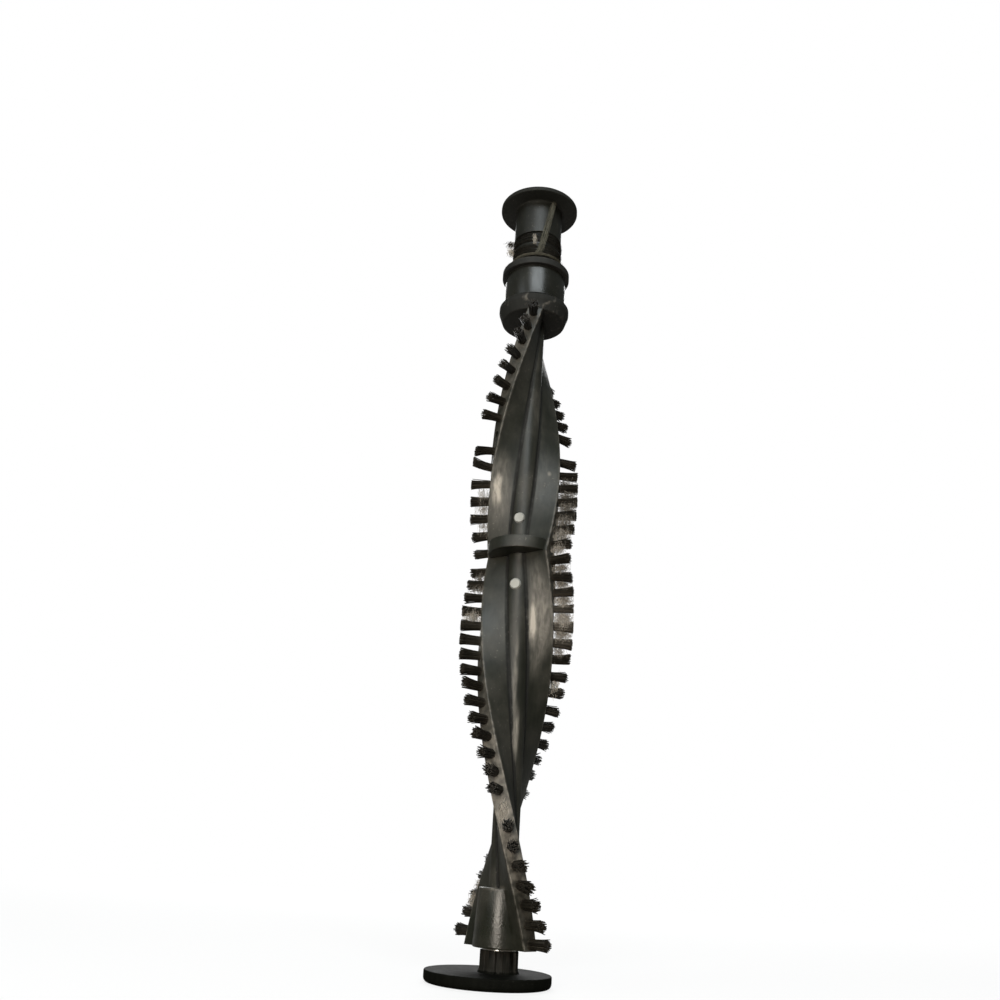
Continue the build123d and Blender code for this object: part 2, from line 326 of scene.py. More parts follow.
@dataclass(frozen=True)
class Band:
    """A stretch of the axis, by height in mm, with its own dust, polish, scuffed relief and darkening, which
    is painted shade.
    """

    low: float
    high: float
    dust: float = 0.0
    polish: float = 0.0
    scuff: float = 0.0
    shade_darkening: float = 0.0


@dataclass(frozen=True)
class DustyPlastic(Finish):
    """Dark moulded plastic under a thin uneven film of dust, with specks, patches and bands along the axis.

    Attributes:
        dust: colour of the dust, which some patches and bands also use for painted light.
        film: how much dust lies everywhere.
        specks: how much dust sits in fine specks.
        turning: how far fine rings about the axis vary the polish.
        shade_hides_dust: how much dust the painted shade takes away.
    """

    dust: Colour = (0.52, 0.475, 0.41)
    film: float = 0.03
    specks: float = 0.10
    turning: float = 0.0
    shade_hides_dust: float = 0.1
    patches: tuple[DustAndLightPatch, ...] = ()
    bands: tuple[Band, ...] = ()

    def worn(self, graph: Graph, place: Signal) -> Signal | float:
        """Extra dust or wear that follows the piece's own form, from 0 to 1."""
        return 0.0

    def painted_shade(self, graph: Graph, place: Signal) -> Signal | float:
        """Painted shade that follows the piece's own form, from 0 to 1: it darkens and dulls the plastic."""
        return 0.0

    def sockets(self, graph: Graph) -> dict[str, Value]:
        """Plastic and dust mixed by film, specks, patches, bands and wear.

        Bands also polish, scuff or darken the plastic. The darkening, like the crease darkening, is painted
        shade: it darkens the plastic under the dust and dulls it.
        """
        place = graph.place()
        height = graph.parts(place)[2]
        cloud = graph.noise(place, 70.0, 4.0)
        streak = graph.noise(place, 700.0, 4.0, (1.0, 1.0, 0.22))
        rings = graph.noise(place, 420.0, 3.0, (0.05, 0.05, 6.0))
        grain = graph.noise(place, 2600.0, 2.0)
        speck = graph.noise(place, 1100.0, 1.0).ease(0.66, 0.74) * self.specks
        amount = cloud.ease(0.35, 0.75) * self.film + speck * cloud.ease(0.45, 0.6)
        # Patches of dust colour: real dust in some places, painted light in others.
        for patch in self.patches:
            amount = amount + patch.mask(graph, place) * (streak.ease(0.25, 0.75) * 0.8 + 0.2)
        polish = (streak - 0.5) * 0.16 + (rings - 0.5) * self.turning
        relief = grain * 0.6 + streak * 0.4
        painted_shade = self.painted_shade(graph, place)
        shaded = painted_shade
        for band in self.bands:
            inside = height.band(band.low * MM, band.high * MM, 0.35 * MM)
            amount = amount + inside * streak.ease(0.2, 0.8) * band.dust
            polish = polish + inside * band.polish
            if band.scuff:
                relief = relief + inside * graph.noise(place, 1500.0, 3.0) * band.scuff
            # Painted shade from the band.
            if band.shade_darkening:
                shaded = inside * band.shade_darkening + shaded
        amount = (amount + (self.worn(graph, place) - painted_shade * self.shade_hides_dust)).least(0.95).most(0.0)
        polish = polish - shaded * 0.4
        plastic = graph.blend(rgba(self.colour, 0.7), rgba(self.colour), streak.ease(0.3, 0.7))
        # Painted shade: the plastic darkened towards the shade colour.
        plastic = graph.blend(plastic, SHADE_COLOUR, shaded)
        roughness = self.roughness + amount * 0.45 + (cloud - 0.5) * 0.16 - polish
        return {
            "Base Color": graph.blend(plastic, rgba(self.dust), amount),
            "Roughness": roughness.least(0.95).most(0.12),
            "Normal": graph.bump(relief + amount * 1.5, 0.03 * MM),
        }


@dataclass(frozen=True)
class Twist:
    """How the wings turn with height: the angle from +X is phase + rate times z."""

    phase: float
    rate: float

    def angle(self, height: Array | float) -> Array | float:
        """Angle of the left wing at a height."""
        return self.phase + self.rate * height


@dataclass(frozen=True)
class WingPlastic(DustyPlastic):
    """Plastic of a brush half, which knows the twisted section, so that lands and edges differ and the
    creases get painted shade.
    """

    twist: Twist = Twist(0.0, 0.0)
    reach: float = WING_REACH
    half: float = WING_THICKNESS / 2
    core: float = CORE_RADIUS
    crease_shade: float = 0.9
    crease_fade: float = 0.75
    edge_wear: float = 0.14
    dusty_fade: float = 12.0
    land_dust: float = 0.25
    dusty_low: float = 0.0
    dusty_high: float = 0.0
    dusty_land: float = 0.0

    def _section(self, graph: Graph, place: Signal) -> tuple[Signal, Signal]:
        """Distances along the wing and across it, with the point turned back by the twist at its height."""
        angle = graph.parts(place)[2] * -self.twist.rate - self.twist.phase
        turned = graph.add(
            "ShaderNodeVectorRotate", {"rotation_type": "Z_AXIS"}, {"Vector": place, "Angle": angle}
        )
        along, across, _ = graph.parts(turned)
        return abs(along), abs(across)

    def painted_shade(self, graph: Graph, place: Signal) -> Signal:
        """Painted shade: darkening in the creases where the wings leave the core."""
        along, across = self._section(graph, place)
        crease = math.sqrt(self.core**2 - self.half**2)
        near = along.band((crease - 0.45) * MM, (crease + 0.5) * MM, self.crease_fade * MM)
        below = across.ease((self.half + 0.9) * MM, (self.half + 0.3) * MM)
        uneven = graph.noise(place, 330.0, 4.0).ease(0.2, 0.6)
        return near * below * (uneven * 0.5 + 0.5) * self.crease_shade

    def worn(self, graph: Graph, place: Signal) -> Signal:
        """Dust on the lands and pale worn corners along them."""
        height = graph.parts(place)[2]
        along, across = self._section(graph, place)
        uneven = graph.noise(place, 380.0, 4.0).ease(0.34, 0.66)
        inside = along.ease((self.reach + 0.3) * MM, (self.reach + 0.1) * MM)
        land = along.ease((self.reach - 0.35) * MM, (self.reach - 0.05) * MM) * inside
        edge = along.ease((self.reach - 1.0) * MM, (self.reach - 0.3) * MM) * inside
        edge = edge * across.ease((self.half - 0.75) * MM, (self.half - 0.2) * MM)
        stretch = height.band(self.dusty_low * MM, self.dusty_high * MM, self.dusty_fade * MM)
        dusty = stretch * self.dusty_land + self.land_dust
        return land * (uneven * 0.85 + 0.15) * dusty + edge * uneven * self.edge_wear


@dataclass(frozen=True)
class BristleNylon(Finish):
    """Nylon filament whose shade differs from strand to strand, dusty at the root and dull at the tip."""

    dust: Colour = (0.23, 0.205, 0.17)
    patches: tuple[DustAndLightPatch, ...] = ()

    def sockets(self, graph: Graph) -> dict[str, Value]:
        """Shade by the strand's own number, dust by the share of the way along it and by patches."""
        along, strand = graph.attribute("along"), graph.attribute("strand")
        place = graph.place()
        cloud = graph.noise(place, 190.0, 3.0).ease(0.42, 0.68)
        shade = graph.blend(rgba(self.colour), rgba(self.colour, 2.6), strand**3.0)
        dusty = along.ease(0.32, 0.05) * 0.18 + along.ease(0.85, 1.0) * 0.05 + cloud * strand * 0.14
        for patch in self.patches:
            dusty = dusty + patch.mask(graph, place) * (strand * 0.7 + 0.3)
        return {
            "Base Color": graph.blend(shade, rgba(self.dust), dusty.least(0.8)),
            "Roughness": self.roughness + dusty * 0.35,
        }


@dataclass(frozen=True)
class Fibre(Finish):
    """Household lint and thread: matt fibre, with a colour that runs from pale to dark by strand."""

    dark: Colour = (0.10, 0.09, 0.075)

    def sockets(self, graph: Graph) -> dict[str, Value]:
        """Shade by the strand's own number."""
        strand = graph.attribute("strand")
        return {
            "Base Color": graph.blend(rgba(self.colour), rgba(self.dark), strand),
            "Roughness": self.roughness + strand * 0.1,
        }


# Surfaces worked out as arrays


class Surface:
    """Grids of points, gathered into one mesh."""

    def __init__(self) -> None:
        """Start with nothing."""
        self.points: list[Array] = []
        self.faces: list[Array] = []
        self.count = 0

    def grid(self, points: Array, close_rows: bool = False, close_columns: bool = True) -> "Surface":
        """Add quads between neighbouring points.

        Args:
            points: an array of (sheets, rows, columns, 3), or one sheet without the first axis.
            close_rows: join the last row to the first.
            close_columns: join the last column to the first.

        Returns:
            This surface.
        """
        points = points.reshape((-1, *points.shape[-3:]))
        index = np.arange(points[..., 0].size).reshape(points.shape[:-1]) + self.count
        if close_rows:
            index = np.concatenate([index, index[:, :1]], axis=1)
        if close_columns:
            index = np.concatenate([index, index[:, :, :1]], axis=2)
        corners = [index[:, :-1, :-1], index[:, :-1, 1:], index[:, 1:, 1:], index[:, 1:, :-1]]
        self.faces.append(np.stack(corners, axis=-1).reshape(-1, 4))
        self._keep(points)
        return self

    def tubes(self, points: Array) -> "Surface":
        """Add closed tubes of (tubes, stations, sides, 3) points, capped at both ends by fans."""
        start = points[:, :1].mean(axis=2, keepdims=True).repeat(points.shape[2], axis=2)
        end = points[:, -1:].mean(axis=2, keepdims=True).repeat(points.shape[2], axis=2)
        return self.grid(np.concatenate([start, points, end], axis=1))

    def _keep(self, points: Array) -> None:
        """Store points and count them."""
        flat = points.reshape(-1, 3)
        self.points.append(flat)
        self.count += len(flat)

    def build(self, name: str, numbers: Mapping[str, Array] | None = None) -> bpy.types.Object:
        """Make the object: doubles merged, normals outwards, smooth except at sharp edges.

        Args:
            name: the piece's name.
            numbers: values for the points, by attribute name.

        Returns:
            The new object at the origin.
        """
        mesh = bpy.data.meshes.new(name)
        points, quads = np.concatenate(self.points), np.concatenate(self.faces)
        mesh.vertices.add(len(points))
        mesh.vertices.foreach_set("co", points.astype(np.float32).ravel())
        mesh.loops.add(quads.size)
        mesh.loops.foreach_set("vertex_index", quads.astype(np.int32).ravel())
        mesh.polygons.add(len(quads))
        mesh.polygons.foreach_set("loop_start", np.arange(0, quads.size, 4, dtype=np.int32))
        for key, values in (numbers or {}).items():
            stored = mesh.attributes.new(key, "FLOAT", "POINT").data
            stored.foreach_set("value", values.astype(np.float32).ravel())
        mesh.update(calc_edges=True)
        merge_and_face_outwards(mesh)
        smooth(mesh)
        piece = bpy.data.objects.new(name, mesh)
        bpy.context.scene.collection.objects.link(piece)
        return piece


def merge_and_face_outwards(mesh: bpy.types.Mesh) -> None:
    """Merge points that coincide, drop faces without area and turn each closed shell outwards."""
    work = bmesh.new()
    work.from_mesh(mesh)
    bmesh.ops.remove_doubles(work, verts=work.verts, dist=MERGE_DISTANCE)
    bmesh.ops.dissolve_degenerate(work, edges=work.edges, dist=MERGE_DISTANCE)
    bmesh.ops.recalc_face_normals(work, faces=work.faces)
    work.to_mesh(mesh)
    work.free()


def smooth(mesh: bpy.types.Mesh) -> None:
    """Shade smooth, with edges over the smoothing angle left sharp."""
    mesh.shade_smooth()
    mesh.set_sharp_from_angle(angle=SMOOTH_ANGLE)


def combine(base: bpy.types.Object, other: bpy.types.Object, way: Solid) -> None:
    """Join another closed piece to the base or cut it out, and remove that piece."""
    modifier = base.modifiers.new(way.name, "BOOLEAN")
    modifier.operation = way.value
    modifier.solver = "EXACT"
    modifier.object = other
    depsgraph = bpy.context.evaluated_depsgraph_get()
    made = bpy.data.meshes.new_from_object(base.evaluated_get(depsgraph))
    base.modifiers.clear()
    base.data = made
    bpy.data.objects.remove(other)
    smooth(made)


def rounded(corners: Sequence[tuple[float, float]], radii: Sequence[float], steps: int = 5) -> Array:
    """Outline whose inner corners are rounded.

    A corner B is left r before it, at P, and joined again r after it, at Q, by the parabola
    (1 - t)^2 P + 2 t (1 - t) B + t^2 Q. The first and last points stay.

    Args:
        corners: (radius, height) pairs.
        radii: a radius for each inner corner.
        steps: points on each arc.

    Returns:
        An array of (points, 2), in metres where the corners are in mm.
    """
    points = np.asarray(corners, float) * MM
    before = points[:-2] - points[1:-1]
    after = points[2:] - points[1:-1]
    size = np.asarray(radii, float)[:, None] * MM
    start = points[1:-1] + before / np.linalg.norm(before, axis=1, keepdims=True) * size
    end = points[1:-1] + after / np.linalg.norm(after, axis=1, keepdims=True) * size
    t = np.linspace(0, 1, steps)[None, :, None]
    arcs = (1 - t) ** 2 * start[:, None] + 2 * t * (1 - t) * points[1:-1, None] + t**2 * end[:, None]
    return np.concatenate([points[:1], arcs.reshape(-1, 2), points[-1:]])


def lathe(outline: Array, segments: int = 120) -> Array:
    """Surface of revolution: an outline point (r, z) goes to (r cos a, r sin a, z) for angles a all round."""
    angle = np.linspace(0, 2 * np.pi, segments, endpoint=False)
    radius, height = outline[:, :1], outline[:, 1:]
    return np.stack([radius * np.cos(angle), radius * np.sin(angle), height + 0 * angle], axis=-1)


def tube(path: Array, radius: Array | float, sides: int, reference: Array) -> Array:
    """Circles carried along paths.

    One side vector is the reference less its part along the tangent. The other is square to both.

    Args:
        path: (tubes, stations, 3) centre lines.
        radius: one radius, or one for each station.
        sides: points on each circle.
        reference: vectors that are never along a path.

    Returns:
        Points of (tubes, stations, sides, 3).
    """
    tangent = np.gradient(path, axis=1)
    tangent /= np.linalg.norm(tangent, axis=-1, keepdims=True)
    first = reference - (reference * tangent).sum(axis=-1, keepdims=True) * tangent
    first /= np.linalg.norm(first, axis=-1, keepdims=True)
    second = np.cross(tangent, first)
    angle = np.linspace(0, 2 * np.pi, sides, endpoint=False)[:, None]
    ring = first[:, :, None] * np.cos(angle) + second[:, :, None] * np.sin(angle)
    return path[:, :, None] + ring * np.asarray(radius)[..., None, None]


def dress(
    piece: bpy.types.Object,
    finish: Finish,
    body: Body,
    stands_for: Sequence[str] = (),
) -> bpy.types.Object:
    """Give a new piece its finish, its body and the CAD nodes that it stands for."""
    piece.data.materials.clear()
    piece.data.materials.append(finish.material())
    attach(piece, body.value)
    if stands_for:
        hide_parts(*stands_for)
    LOG.info("%s: %d faces on %s", piece.name, len(piece.data.polygons), body.value)
    return piece


# Tufts, pins and the twist, read from the frame


def node_points(node: str) -> Array:
    """The different points of a CAD node's mesh."""
    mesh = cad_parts[node].data
    points = np.empty(len(mesh.vertices) * 3, np.float32)
    mesh.vertices.foreach_get("co", points)
    return np.unique(points.reshape(-1, 3).astype(float).round(6), axis=0)


def outwards(angle: Array) -> Array:
    """Level unit vectors at angles from +X."""
    return np.stack([np.cos(angle), np.sin(angle), 0 * angle], axis=-1)


@dataclass(frozen=True)
class TuftRow:
    """Where the tufts of one row stand, from their solids in the frame."""

    node: str
    heights: Array
    angles: Array
    tip: float

    @classmethod
    def read(cls, node: str) -> "TuftRow":
        """Split a row's points into tufts at the gaps between them along the roll.

        Args:
            node: the CAD node of the row.

        Returns:
            The tufts' heights and angles, lowest first, and how far their tips lie from the axis.
        """
        points = node_points(node)
        points = points[np.argsort(points[:, 2])]
        gaps = np.flatnonzero(np.diff(points[:, 2]) > TUFT_GAP) + 1
        middles = np.array([tuft.mean(axis=0) for tuft in np.split(points, gaps)])
        angles = np.unwrap(np.arctan2(middles[:, 1], middles[:, 0]))
        return cls(node, middles[:, 2], angles, float(np.linalg.norm(points[:, :2], axis=1).max()))

    def twist(self) -> Twist:
        """Straight line through the tufts' angles over their heights."""
        rate, phase = np.polyfit(self.heights, self.angles, 1)
        return Twist(float(phase), float(rate))


# Brush halves


@dataclass
class BrushHalf:
    """One moulded half: a round core with two wings, twisted, with sockets for its tufts. Sizes in mm."""

    node: str
    rows: tuple[TuftRow, TuftRow]
    finish: WingPlastic
    turned_parts: tuple[Array, ...]
    pin: str
    low_trim: float
    high_trim: float
    reach: float = WING_REACH
    half: float = WING_THICKNESS / 2
    core: float = CORE_RADIUS
    corner: float = 0.55
    crease: float = 0.35
    socket_radius: float = 1.5
    socket_depth: float = 5.0
    bore: float = SHAFT_BORE
    pin_seat_radius: float = 2.2
    pin_head: float = 0.9
    station_gap: float = 0.9

    def section(self) -> Array:
        """Outline of core and wings as (u, v) points.

        A quarter runs from the middle of the land round its corner, along the wing, through a small hollow
        at the crease and over the core's arc. The other quarters mirror it.
        """
        half = self.half
        meet = math.sqrt(self.core**2 - half**2)
        along = np.linspace(self.reach - self.corner, meet + self.crease, 9)[1:-1]
        arc = np.linspace(math.atan2(half, meet) + self.crease / self.core, math.pi / 2, 9)
        first = (self.core * math.cos(arc[0]), self.core * math.sin(arc[0]))
        turn = rounded([(self.reach, 0), (self.reach, half), (meet + self.crease, half)], [self.corner], 6)
        hollow = rounded([(meet + self.crease, half), (meet, half), first], [self.crease * 0.8], 4)
        flank = np.column_stack([along, np.full(along.size, half)]) * MM
        top = np.column_stack([np.cos(arc), np.sin(arc)]) * self.core * MM
        land = np.column_stack([np.full(3, self.reach), np.linspace(0, half - self.corner, 4)[:-1]]) * MM
        quarter = np.concatenate([land, turn[1:-1], flank, hollow[:-1], top[:-1]])
        apex = np.array([[0.0, self.core * MM]])
        side = np.concatenate([quarter, apex, (quarter * (-1, 1))[::-1]])[:-1]
        return np.concatenate([side, -side])

    def body(self) -> bpy.types.Object:
        """Section carried up the axis and turned with the twist, closed by a fan at each end."""
        low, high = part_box(self.node)
        start, end = low.z + self.low_trim * MM, high.z - self.high_trim * MM
        heights = np.linspace(start, end, int((end - start) / (self.station_gap * MM)))
        angle = self.finish.twist.angle(heights)[:, None]
        section = self.section()
        u, v = section[None, :, 0], section[None, :, 1]
        x, y = u * np.cos(angle) - v * np.sin(angle), u * np.sin(angle) + v * np.cos(angle)
        points = np.stack([x, y, heights[:, None] + 0 * x], axis=-1)
        return Surface().tubes(points[None]).build(self.node + "_shell")

    def sockets(self) -> bpy.types.Object:
        """Cutters: a hole below each tuft's place, lost tufts too, the pin's seat and the shaft's bore."""
        twist = self.finish.twist
        steps = np.diff(np.concatenate([row.heights for row in self.rows]))
        pitch = np.median(steps[steps > 0])
        heights, angles = [], []
        for row, turn in zip(self.rows, (0.0, math.pi)):
            count = round((row.heights[-1] - row.heights[0]) / pitch) + 1
            places = np.linspace(row.heights[0], row.heights[-1], count)
            heights.append(places)
            angles.append(twist.angle(places) + turn)
        height, angle = np.concatenate(heights), np.concatenate(angles)
        out = outwards(angle)
        reach = np.array([self.reach - self.socket_depth, self.reach + 1.0]) * MM
        path = out[:, None] * reach[None, :, None] + UP * height[:, None, None]
        holes = tube(path, self.socket_radius * MM, 18, UP)
        low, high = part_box(self.node)
        shaft = np.array([[[0, 0, low.z - 1 * MM], [0, 0, high.z + 1 * MM]]])
        bore = tube(shaft, self.bore * MM, 48, ACROSS)
        return Surface().tubes(holes).tubes(bore).tubes(self.pin_seat()).build(self.node + "_cutters")

    def pin_seat(self) -> Array:
        """Round cutter for the flat under the pin's head, along the pin's own direction."""
        points = node_points(self.pin)
        middle = (points.min(axis=0) + points.max(axis=0)) / 2
        out = outwards(np.arctan2(middle[1], middle[0]))
        seat = (points @ out).max() - self.pin_head * MM
        path = out * np.array([[seat], [seat + 3 * MM]]) + UP * middle[2]
        return tube(path[None], self.pin_seat_radius * MM, 32, UP)

    def build(self) -> bpy.types.Object:
        """Join the twisted body with its collars or hub, cut the holes and dress the half."""
        shell = self.body()
        for outline in self.turned_parts:
            part = Surface().grid(lathe(outline)).build(self.node + "_part")
            combine(shell, part, Solid.JOIN)
        combine(shell, self.sockets(), Solid.CUT)
        return dress(shell, self.finish, Body.ROLL, [self.node])


def ring_outline(low: float, high: float, foot: float, top: float, edge: float) -> Array:
    """Outline of a plain or tapered disc from the axis: foot radius at low, top radius at high, in mm."""
    return rounded([(0, low), (foot, low), (top, high), (0, high)], [edge, edge])


# Bristles


@dataclass
class BristleRow:
    """One row of tufts as separate nylon filaments. Sizes in mm."""

    row: TuftRow
    finish: BristleNylon
    seed: int
    wear: Mapping[float, TuftWear]
    land: float = WING_REACH
    sunk: float = 1.4
    strands: int = 96
    radius: float = 0.165
    bundle: float = 1.52
    splay: float = 0.26
    tuft_lean: float = 0.34
    strand_lean: float = 0.22
    trim: float = 0.05
    stations: int = 5
    sides: int = 4
    bend: float = 1.7

    def build(self) -> bpy.types.Object:
        """Filaments of every tuft.

        Strand k of n starts at a sunflower place: radius bundle sqrt((k + 1/2) / n), k golden angles round.
        Along t from 0 to 1 it runs outwards, spreads by splay t^2, and leans by t^2 with its tuft and alone.
        The tips are trimmed to a cylinder about the axis, as a brush is.
        """
        draw = np.random.default_rng(self.seed)
        tufts, strands = self.row.heights.size, self.strands
        out = outwards(self.row.angles)
        side = np.cross(UP, out)
        count = np.arange(strands)
        uneven = 1 + draw.normal(0, 0.06, (tufts, strands))
        spread = self.bundle * MM * np.sqrt((count + 0.5) / strands) * uneven
        golden = math.pi * (3 - math.sqrt(5))
        round_about = count * golden + draw.uniform(0, 2 * math.pi, (tufts, 1))
        rise, across = spread * np.cos(round_about), spread * np.sin(round_about)
        lean = draw.normal(0, self.tuft_lean, (tufts, 1, 2))
        lean = lean + draw.normal(0, self.strand_lean, (tufts, strands, 2))
        lean[:, :, 0] += self._bends(tufts)
        lean *= MM
        start = (self.land - self.sunk) * MM
        aside = across * (1 + self.splay) + lean[..., 1]
        full = np.sqrt((self.row.tip - self.radius * MM) ** 2 - aside**2) - start
        length = full * (1 - self.trim * draw.random((tufts, strands)) ** 2)
        t = np.linspace(0, 1, self.stations)
        eased = t**2
        reach = start + length[..., None] * t
        lift = rise[..., None] * (1 + self.splay * eased) + lean[..., :1] * eased
        slide = across[..., None] * (1 + self.splay * eased) + lean[..., 1:] * eased
        path = (
            out[:, None, None] * reach[..., None]
            + UP * (lift + self.row.heights[:, None, None])[..., None]
            + side[:, None, None] * slide[..., None]
        )
        kept = self._kept(draw, tufts)
        path = path[kept]
        own_number = draw.random(len(path))
        taper = np.linspace(1.0, 0.82, self.stations) * self.radius * MM
        points = tube(path, taper, self.sides, UP)
        shape = (len(path), self.stations + 2, self.sides)
        along = np.broadcast_to(np.concatenate([t[:1], t, t[-1:]])[None, :, None], shape)
        strand = np.broadcast_to(own_number[:, None, None], shape)
        name = self.row.node.replace("row", "strands")
        piece = Surface().tubes(points).build(name, {"along": along, "strand": strand})
        return dress(piece, self.finish, Body.ROLL, [self.row.node])

    def _nearest(self, height: float) -> int:
        """Which tuft stands nearest to a height in mm."""
        return int(np.abs(self.row.heights - height * MM).argmin())

    def _bends(self, tufts: int) -> Array:
        """How far the tips of each tuft are pressed along the roll, in mm, for (tufts, 1)."""
        pressed = np.zeros((tufts, 1))
        for height, wear in self.wear.items():
            if wear is not TuftWear.SPARSE:
                pressed[self._nearest(height)] = self.bend if wear is TuftWear.BENT_UP else -self.bend
        return pressed

    def _kept(self, draw: np.random.Generator, tufts: int) -> Array:
        """Which strands are still there: all but a few, and about a quarter of a sparse tuft's."""
        share = np.full((tufts, 1), 0.96)
        for height, wear in self.wear.items():
            if wear is TuftWear.SPARSE:
                share[self._nearest(height)] = 0.26
        return draw.random((tufts, self.strands)) < share


# Lint and thread caught on the roll


@dataclass(frozen=True)
class LintClump:
    """A tangle: height in mm, angle from +X in radians, inner and outer radius in mm, fibres and darkness."""

    height: float
    angle: float
    inner: float
    outer: float
    fibres: int
    darkness: float


@dataclass
class Lint:
    """Clumps of household lint on one body. Sizes in mm."""

    name: str
    clumps: tuple[LintClump, ...]
    finish: Fibre
    seed: int
    radius: float = 0.042
    stations: int = 9
    sides: int = 3
    width: float = 1.5
    depth: float = 2.6
    farthest: float = 20.6

    def build(self) -> bpy.types.Object:
        """Fibres that wander along the roll.

        A fibre runs along the roll for a random share of the depth. Two sine waves of random phase and size
        carry it outwards, along and across about a middle of its own, which lies near the clump's middle.
        """
        draw = np.random.default_rng(self.seed)
        numbers = np.array([[c.height, c.angle, c.inner, c.outer, c.darkness] for c in self.clumps])
        numbers[:, 0] += draw.normal(0, 0.5, len(numbers))
        fibres = [c.fibres for c in self.clumps]
        each = np.repeat(numbers, fibres, axis=0)
        size = np.repeat(draw.uniform(0.6, 1.25, (len(numbers), 2)), fibres, axis=0)
        count = len(each)
        height, angle, inner, outer, darkness = each.T
        out, side = outwards(angle), outwards(angle + np.pi / 2)
        t = np.linspace(0, 1, self.stations)[None, :, None]
        phase = draw.uniform(0, 2 * np.pi, (count, 2, 3))[:, :, None]
        waves = draw.uniform(0.5, 1.6, (count, 2, 3))[:, :, None]
        wave = np.sin(2 * np.pi * waves[:, 0] * t + phase[:, 0]) * 0.62
        wave += np.sin(2 * np.pi * waves[:, 1] * t + phase[:, 1]) * 0.38
        wave *= draw.uniform(0.15, 1.0, (count, 1, 3))
        middle = draw.normal(0, 0.34, (count, 3))
        span = np.column_stack([(outer - inner) / 2, np.full(count, self.depth), np.full(count, self.width)])
        span[:, 1:] *= size
        reach = (wave * (0.5, 0.35, 0.6) + middle[:, None] * (1.5, 0.7, 0.9)) * span[:, None]
        reach[..., 1] += (t[..., 0] * 2 - 1) * span[:, 1:2] * draw.uniform(0.1, 1.25, (count, 1))
        radial = np.clip((inner + outer)[:, None] / 2 + reach[..., 0], inner[:, None], self.farthest)
        path = (
            out[:, None] * radial[..., None]
            + UP * (reach[..., 1] + height[:, None])[..., None]
            + side[:, None] * reach[..., 2:]
        ) * MM
        points = tube(path, self.radius * MM, self.sides, draw.normal(0, 1, (count, 1, 3)))
        shade = np.clip(darkness + draw.normal(0, 0.16, count), 0, 1)
        strand = np.broadcast_to(shade[:, None, None], (count, self.stations + 2, self.sides))
        piece = Surface().tubes(points).build(self.name, {"strand": strand})
        return dress(piece, self.finish, Body.ROLL)


@dataclass
class WoundHair:
    """Hair wound round the journal, between two heights. Sizes in mm."""

    name: str
    low: float
    high: float
    finish: Fibre
    seed: int
    journal: float = JOURNAL_RADIUS
    count: int = 110
    radius: float = 0.06
    build_up: float = 0.75
    stations: int = 60
    sides: int = 3

    def build(self) -> bpy.types.Object:
        """Each hair turns one to three times while it drifts along the journal and lifts off it in waves."""
        draw = np.random.default_rng(self.seed)
        t = np.linspace(0, 1, self.stations)[None]
        start, turns, lift, place, phase = draw.random((5, self.count, 1))
        angle = 2 * np.pi * (start + (1 + 2 * turns) * t)
        middle = self.low + (self.high - self.low) * place**1.6
        drift = draw.normal(0, 0.9, (self.count, 1)) * (t - 0.5)
        height = middle + drift + 0.3 * np.sin(11 * t + 6 * phase)
        height = np.clip(height, self.low + self.radius, self.high - self.radius)
        out = self.journal + self.radius + self.build_up * lift**2 * (0.7 + 0.3 * np.sin(19 * t + 6 * start))
        path = np.stack([out * np.cos(angle), out * np.sin(angle), height], axis=-1) * MM
        points = tube(path, self.radius * MM, self.sides, np.array([0.1, 0.05, 1.0]))
        shade = np.clip(0.75 + draw.normal(0, 0.2, self.count), 0, 1)
        strand = np.broadcast_to(shade[:, None, None], (self.count, self.stations + 2, self.sides))
        piece = Surface().tubes(points).build(self.name, {"strand": strand})
        return dress(piece, self.finish, Body.ROLL)


@dataclass(frozen=True)
class Wrap:
    """A lock of hair laid on a round surface: angles from the front in degrees, radii and heights in mm."""

    angles: tuple[float, ...]
    radii: tuple[float, ...]
    heights: tuple[float, ...]
    hairs: int
    spread: float
    darkness: float


